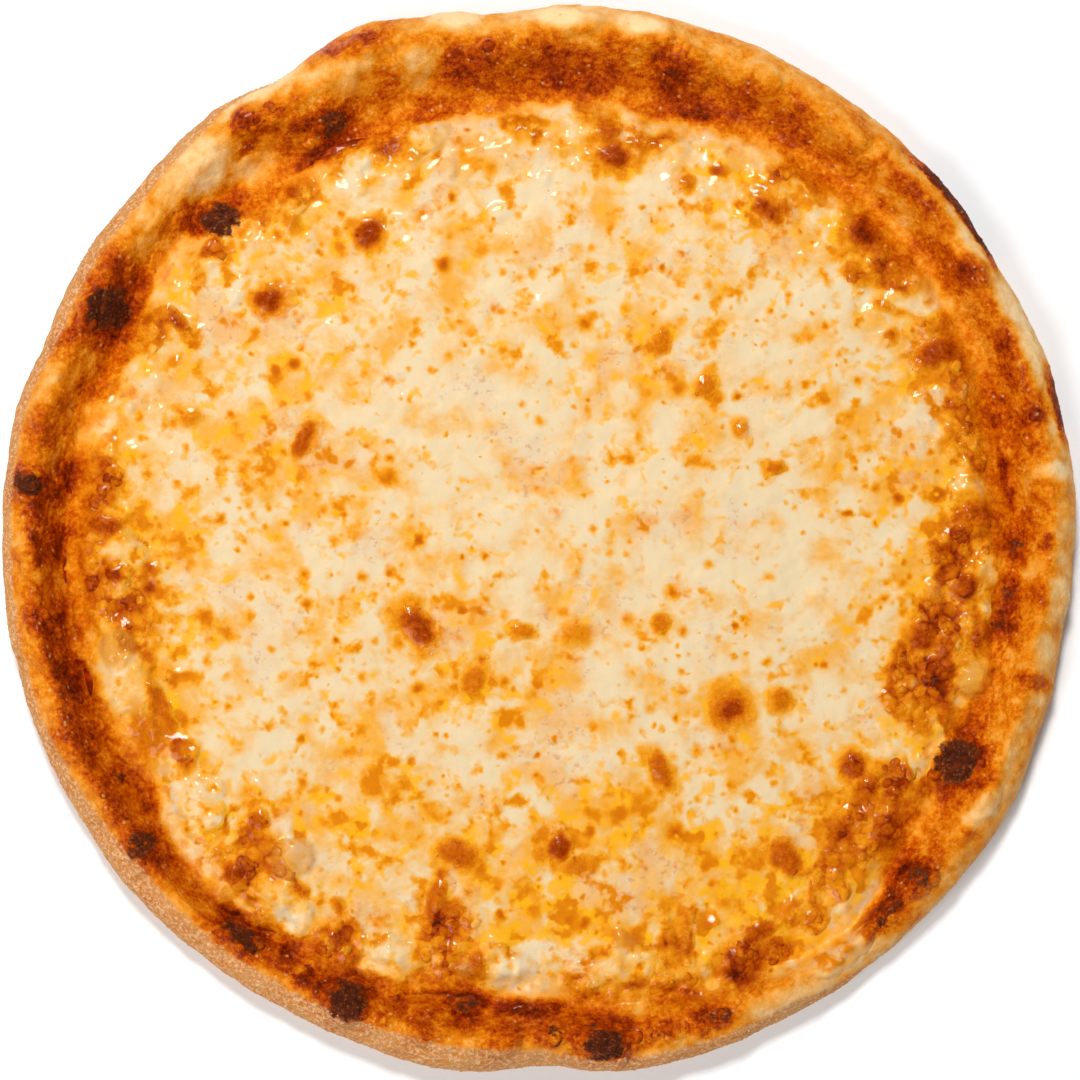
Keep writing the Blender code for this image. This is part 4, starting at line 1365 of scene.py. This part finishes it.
# %% Floor, light and camera
FLOOR_SIZE = 6
LENS_MM = 100
SENSOR_MM = 36
VIEW_WIDTH = 0.3015
CAMERA_TILT = math.radians(4)
CAMERA_TILT_CLOCK = 215
CAMERA_AIM = (-0.9, -1.3, WIDEST_HEIGHT)  # in mm: a little nearer, where the round looks larger


def floor_material():
    """A board painted matt white, with the faint unevenness of a roller."""
    material, tree, shader, where = new_material("matt_painted_board")
    mottle = add(tree, NOISE, {"Vector": where, "Scale": per_mm(400), "Detail": 3})
    color = add(tree, RAMP, {0: mottle}, stops=((0.3, "#FAFAFA"), (0.7, "#FDFDFD")))
    tree.links.new(color, shader.inputs["Base Color"])
    set_all_over(shader, Roughness=0.8, Specular_IOR_Level=0.2)
    return material


bpy.ops.mesh.primitive_plane_add(size=FLOOR_SIZE)
floor = bpy.context.object
floor.name = "floor"
floor.data.materials.append(floor_material())


def aimed(thing, place, target):
    """Puts a light at a place, facing a target."""
    thing.location = place
    thing.rotation_euler = (Vector(target) - Vector(place)).to_track_quat("-Z", "Y").to_euler()


def soft_light(name, place, size, watts, color):
    """A square light that faces the pizza."""
    light = bpy.data.lights.new(name, "AREA")
    light.size = size
    light.energy = watts
    light.color = rgb(color)[:3]
    holder = bpy.data.objects.new(name, light)
    bpy.context.scene.collection.objects.link(holder)
    aimed(holder, place, (0, 0, 0))


soft_light("key", place=(-0.12, 0.62, 1.1), size=0.25, watts=12.6, color="#FFFFFF")
soft_light("fill", place=(-0.6, -0.65, 1.0), size=0.6, watts=9.4, color="#FFFFFF")
world = bpy.data.worlds.new("studio")
world.use_nodes = True
sky = world.node_tree
direction = add(sky, "ShaderNodeTexCoord", output="Generated")
up = add(sky, "ShaderNodeSeparateXYZ", {0: direction}, output="Z")
strength = add(sky, RANGE, {0: up, 1: 0.6, 2: 0.95, 3: 0.3, 4: 0.05}, **SMOOTH)
sky.nodes["Background"].inputs["Color"].default_value = rgb("#FFFFFF")
sky.links.new(strength, sky.nodes["Background"].inputs["Strength"])
bpy.context.scene.world = world
bpy.context.scene.view_settings.view_transform = "Standard"

camera = bpy.data.objects.new("camera", bpy.data.cameras.new("camera"))
bpy.context.scene.collection.objects.link(camera)
camera.data.lens = LENS_MM
camera.data.sensor_width = SENSOR_MM
distance = VIEW_WIDTH * LENS_MM / SENSOR_MM
tilt_turn = math.radians(CAMERA_TILT_CLOCK)
aside = distance * math.sin(CAMERA_TILT)
middle = Vector(CAMERA_AIM) * MM
up = distance * math.cos(CAMERA_TILT)
away = Vector((aside * math.sin(tilt_turn), aside * math.cos(tilt_turn), up))
facing = away.normalized()
sideways = Vector((0, 1, 0)).cross(facing).normalized()
camera.location = middle + away
camera.rotation_euler = Matrix((sideways, facing.cross(sideways), facing)).transposed().to_euler()
bpy.context.scene.camera = camera
print(f"camera {distance:.2f} m away, tilted {math.degrees(CAMERA_TILT):.0f} degrees")
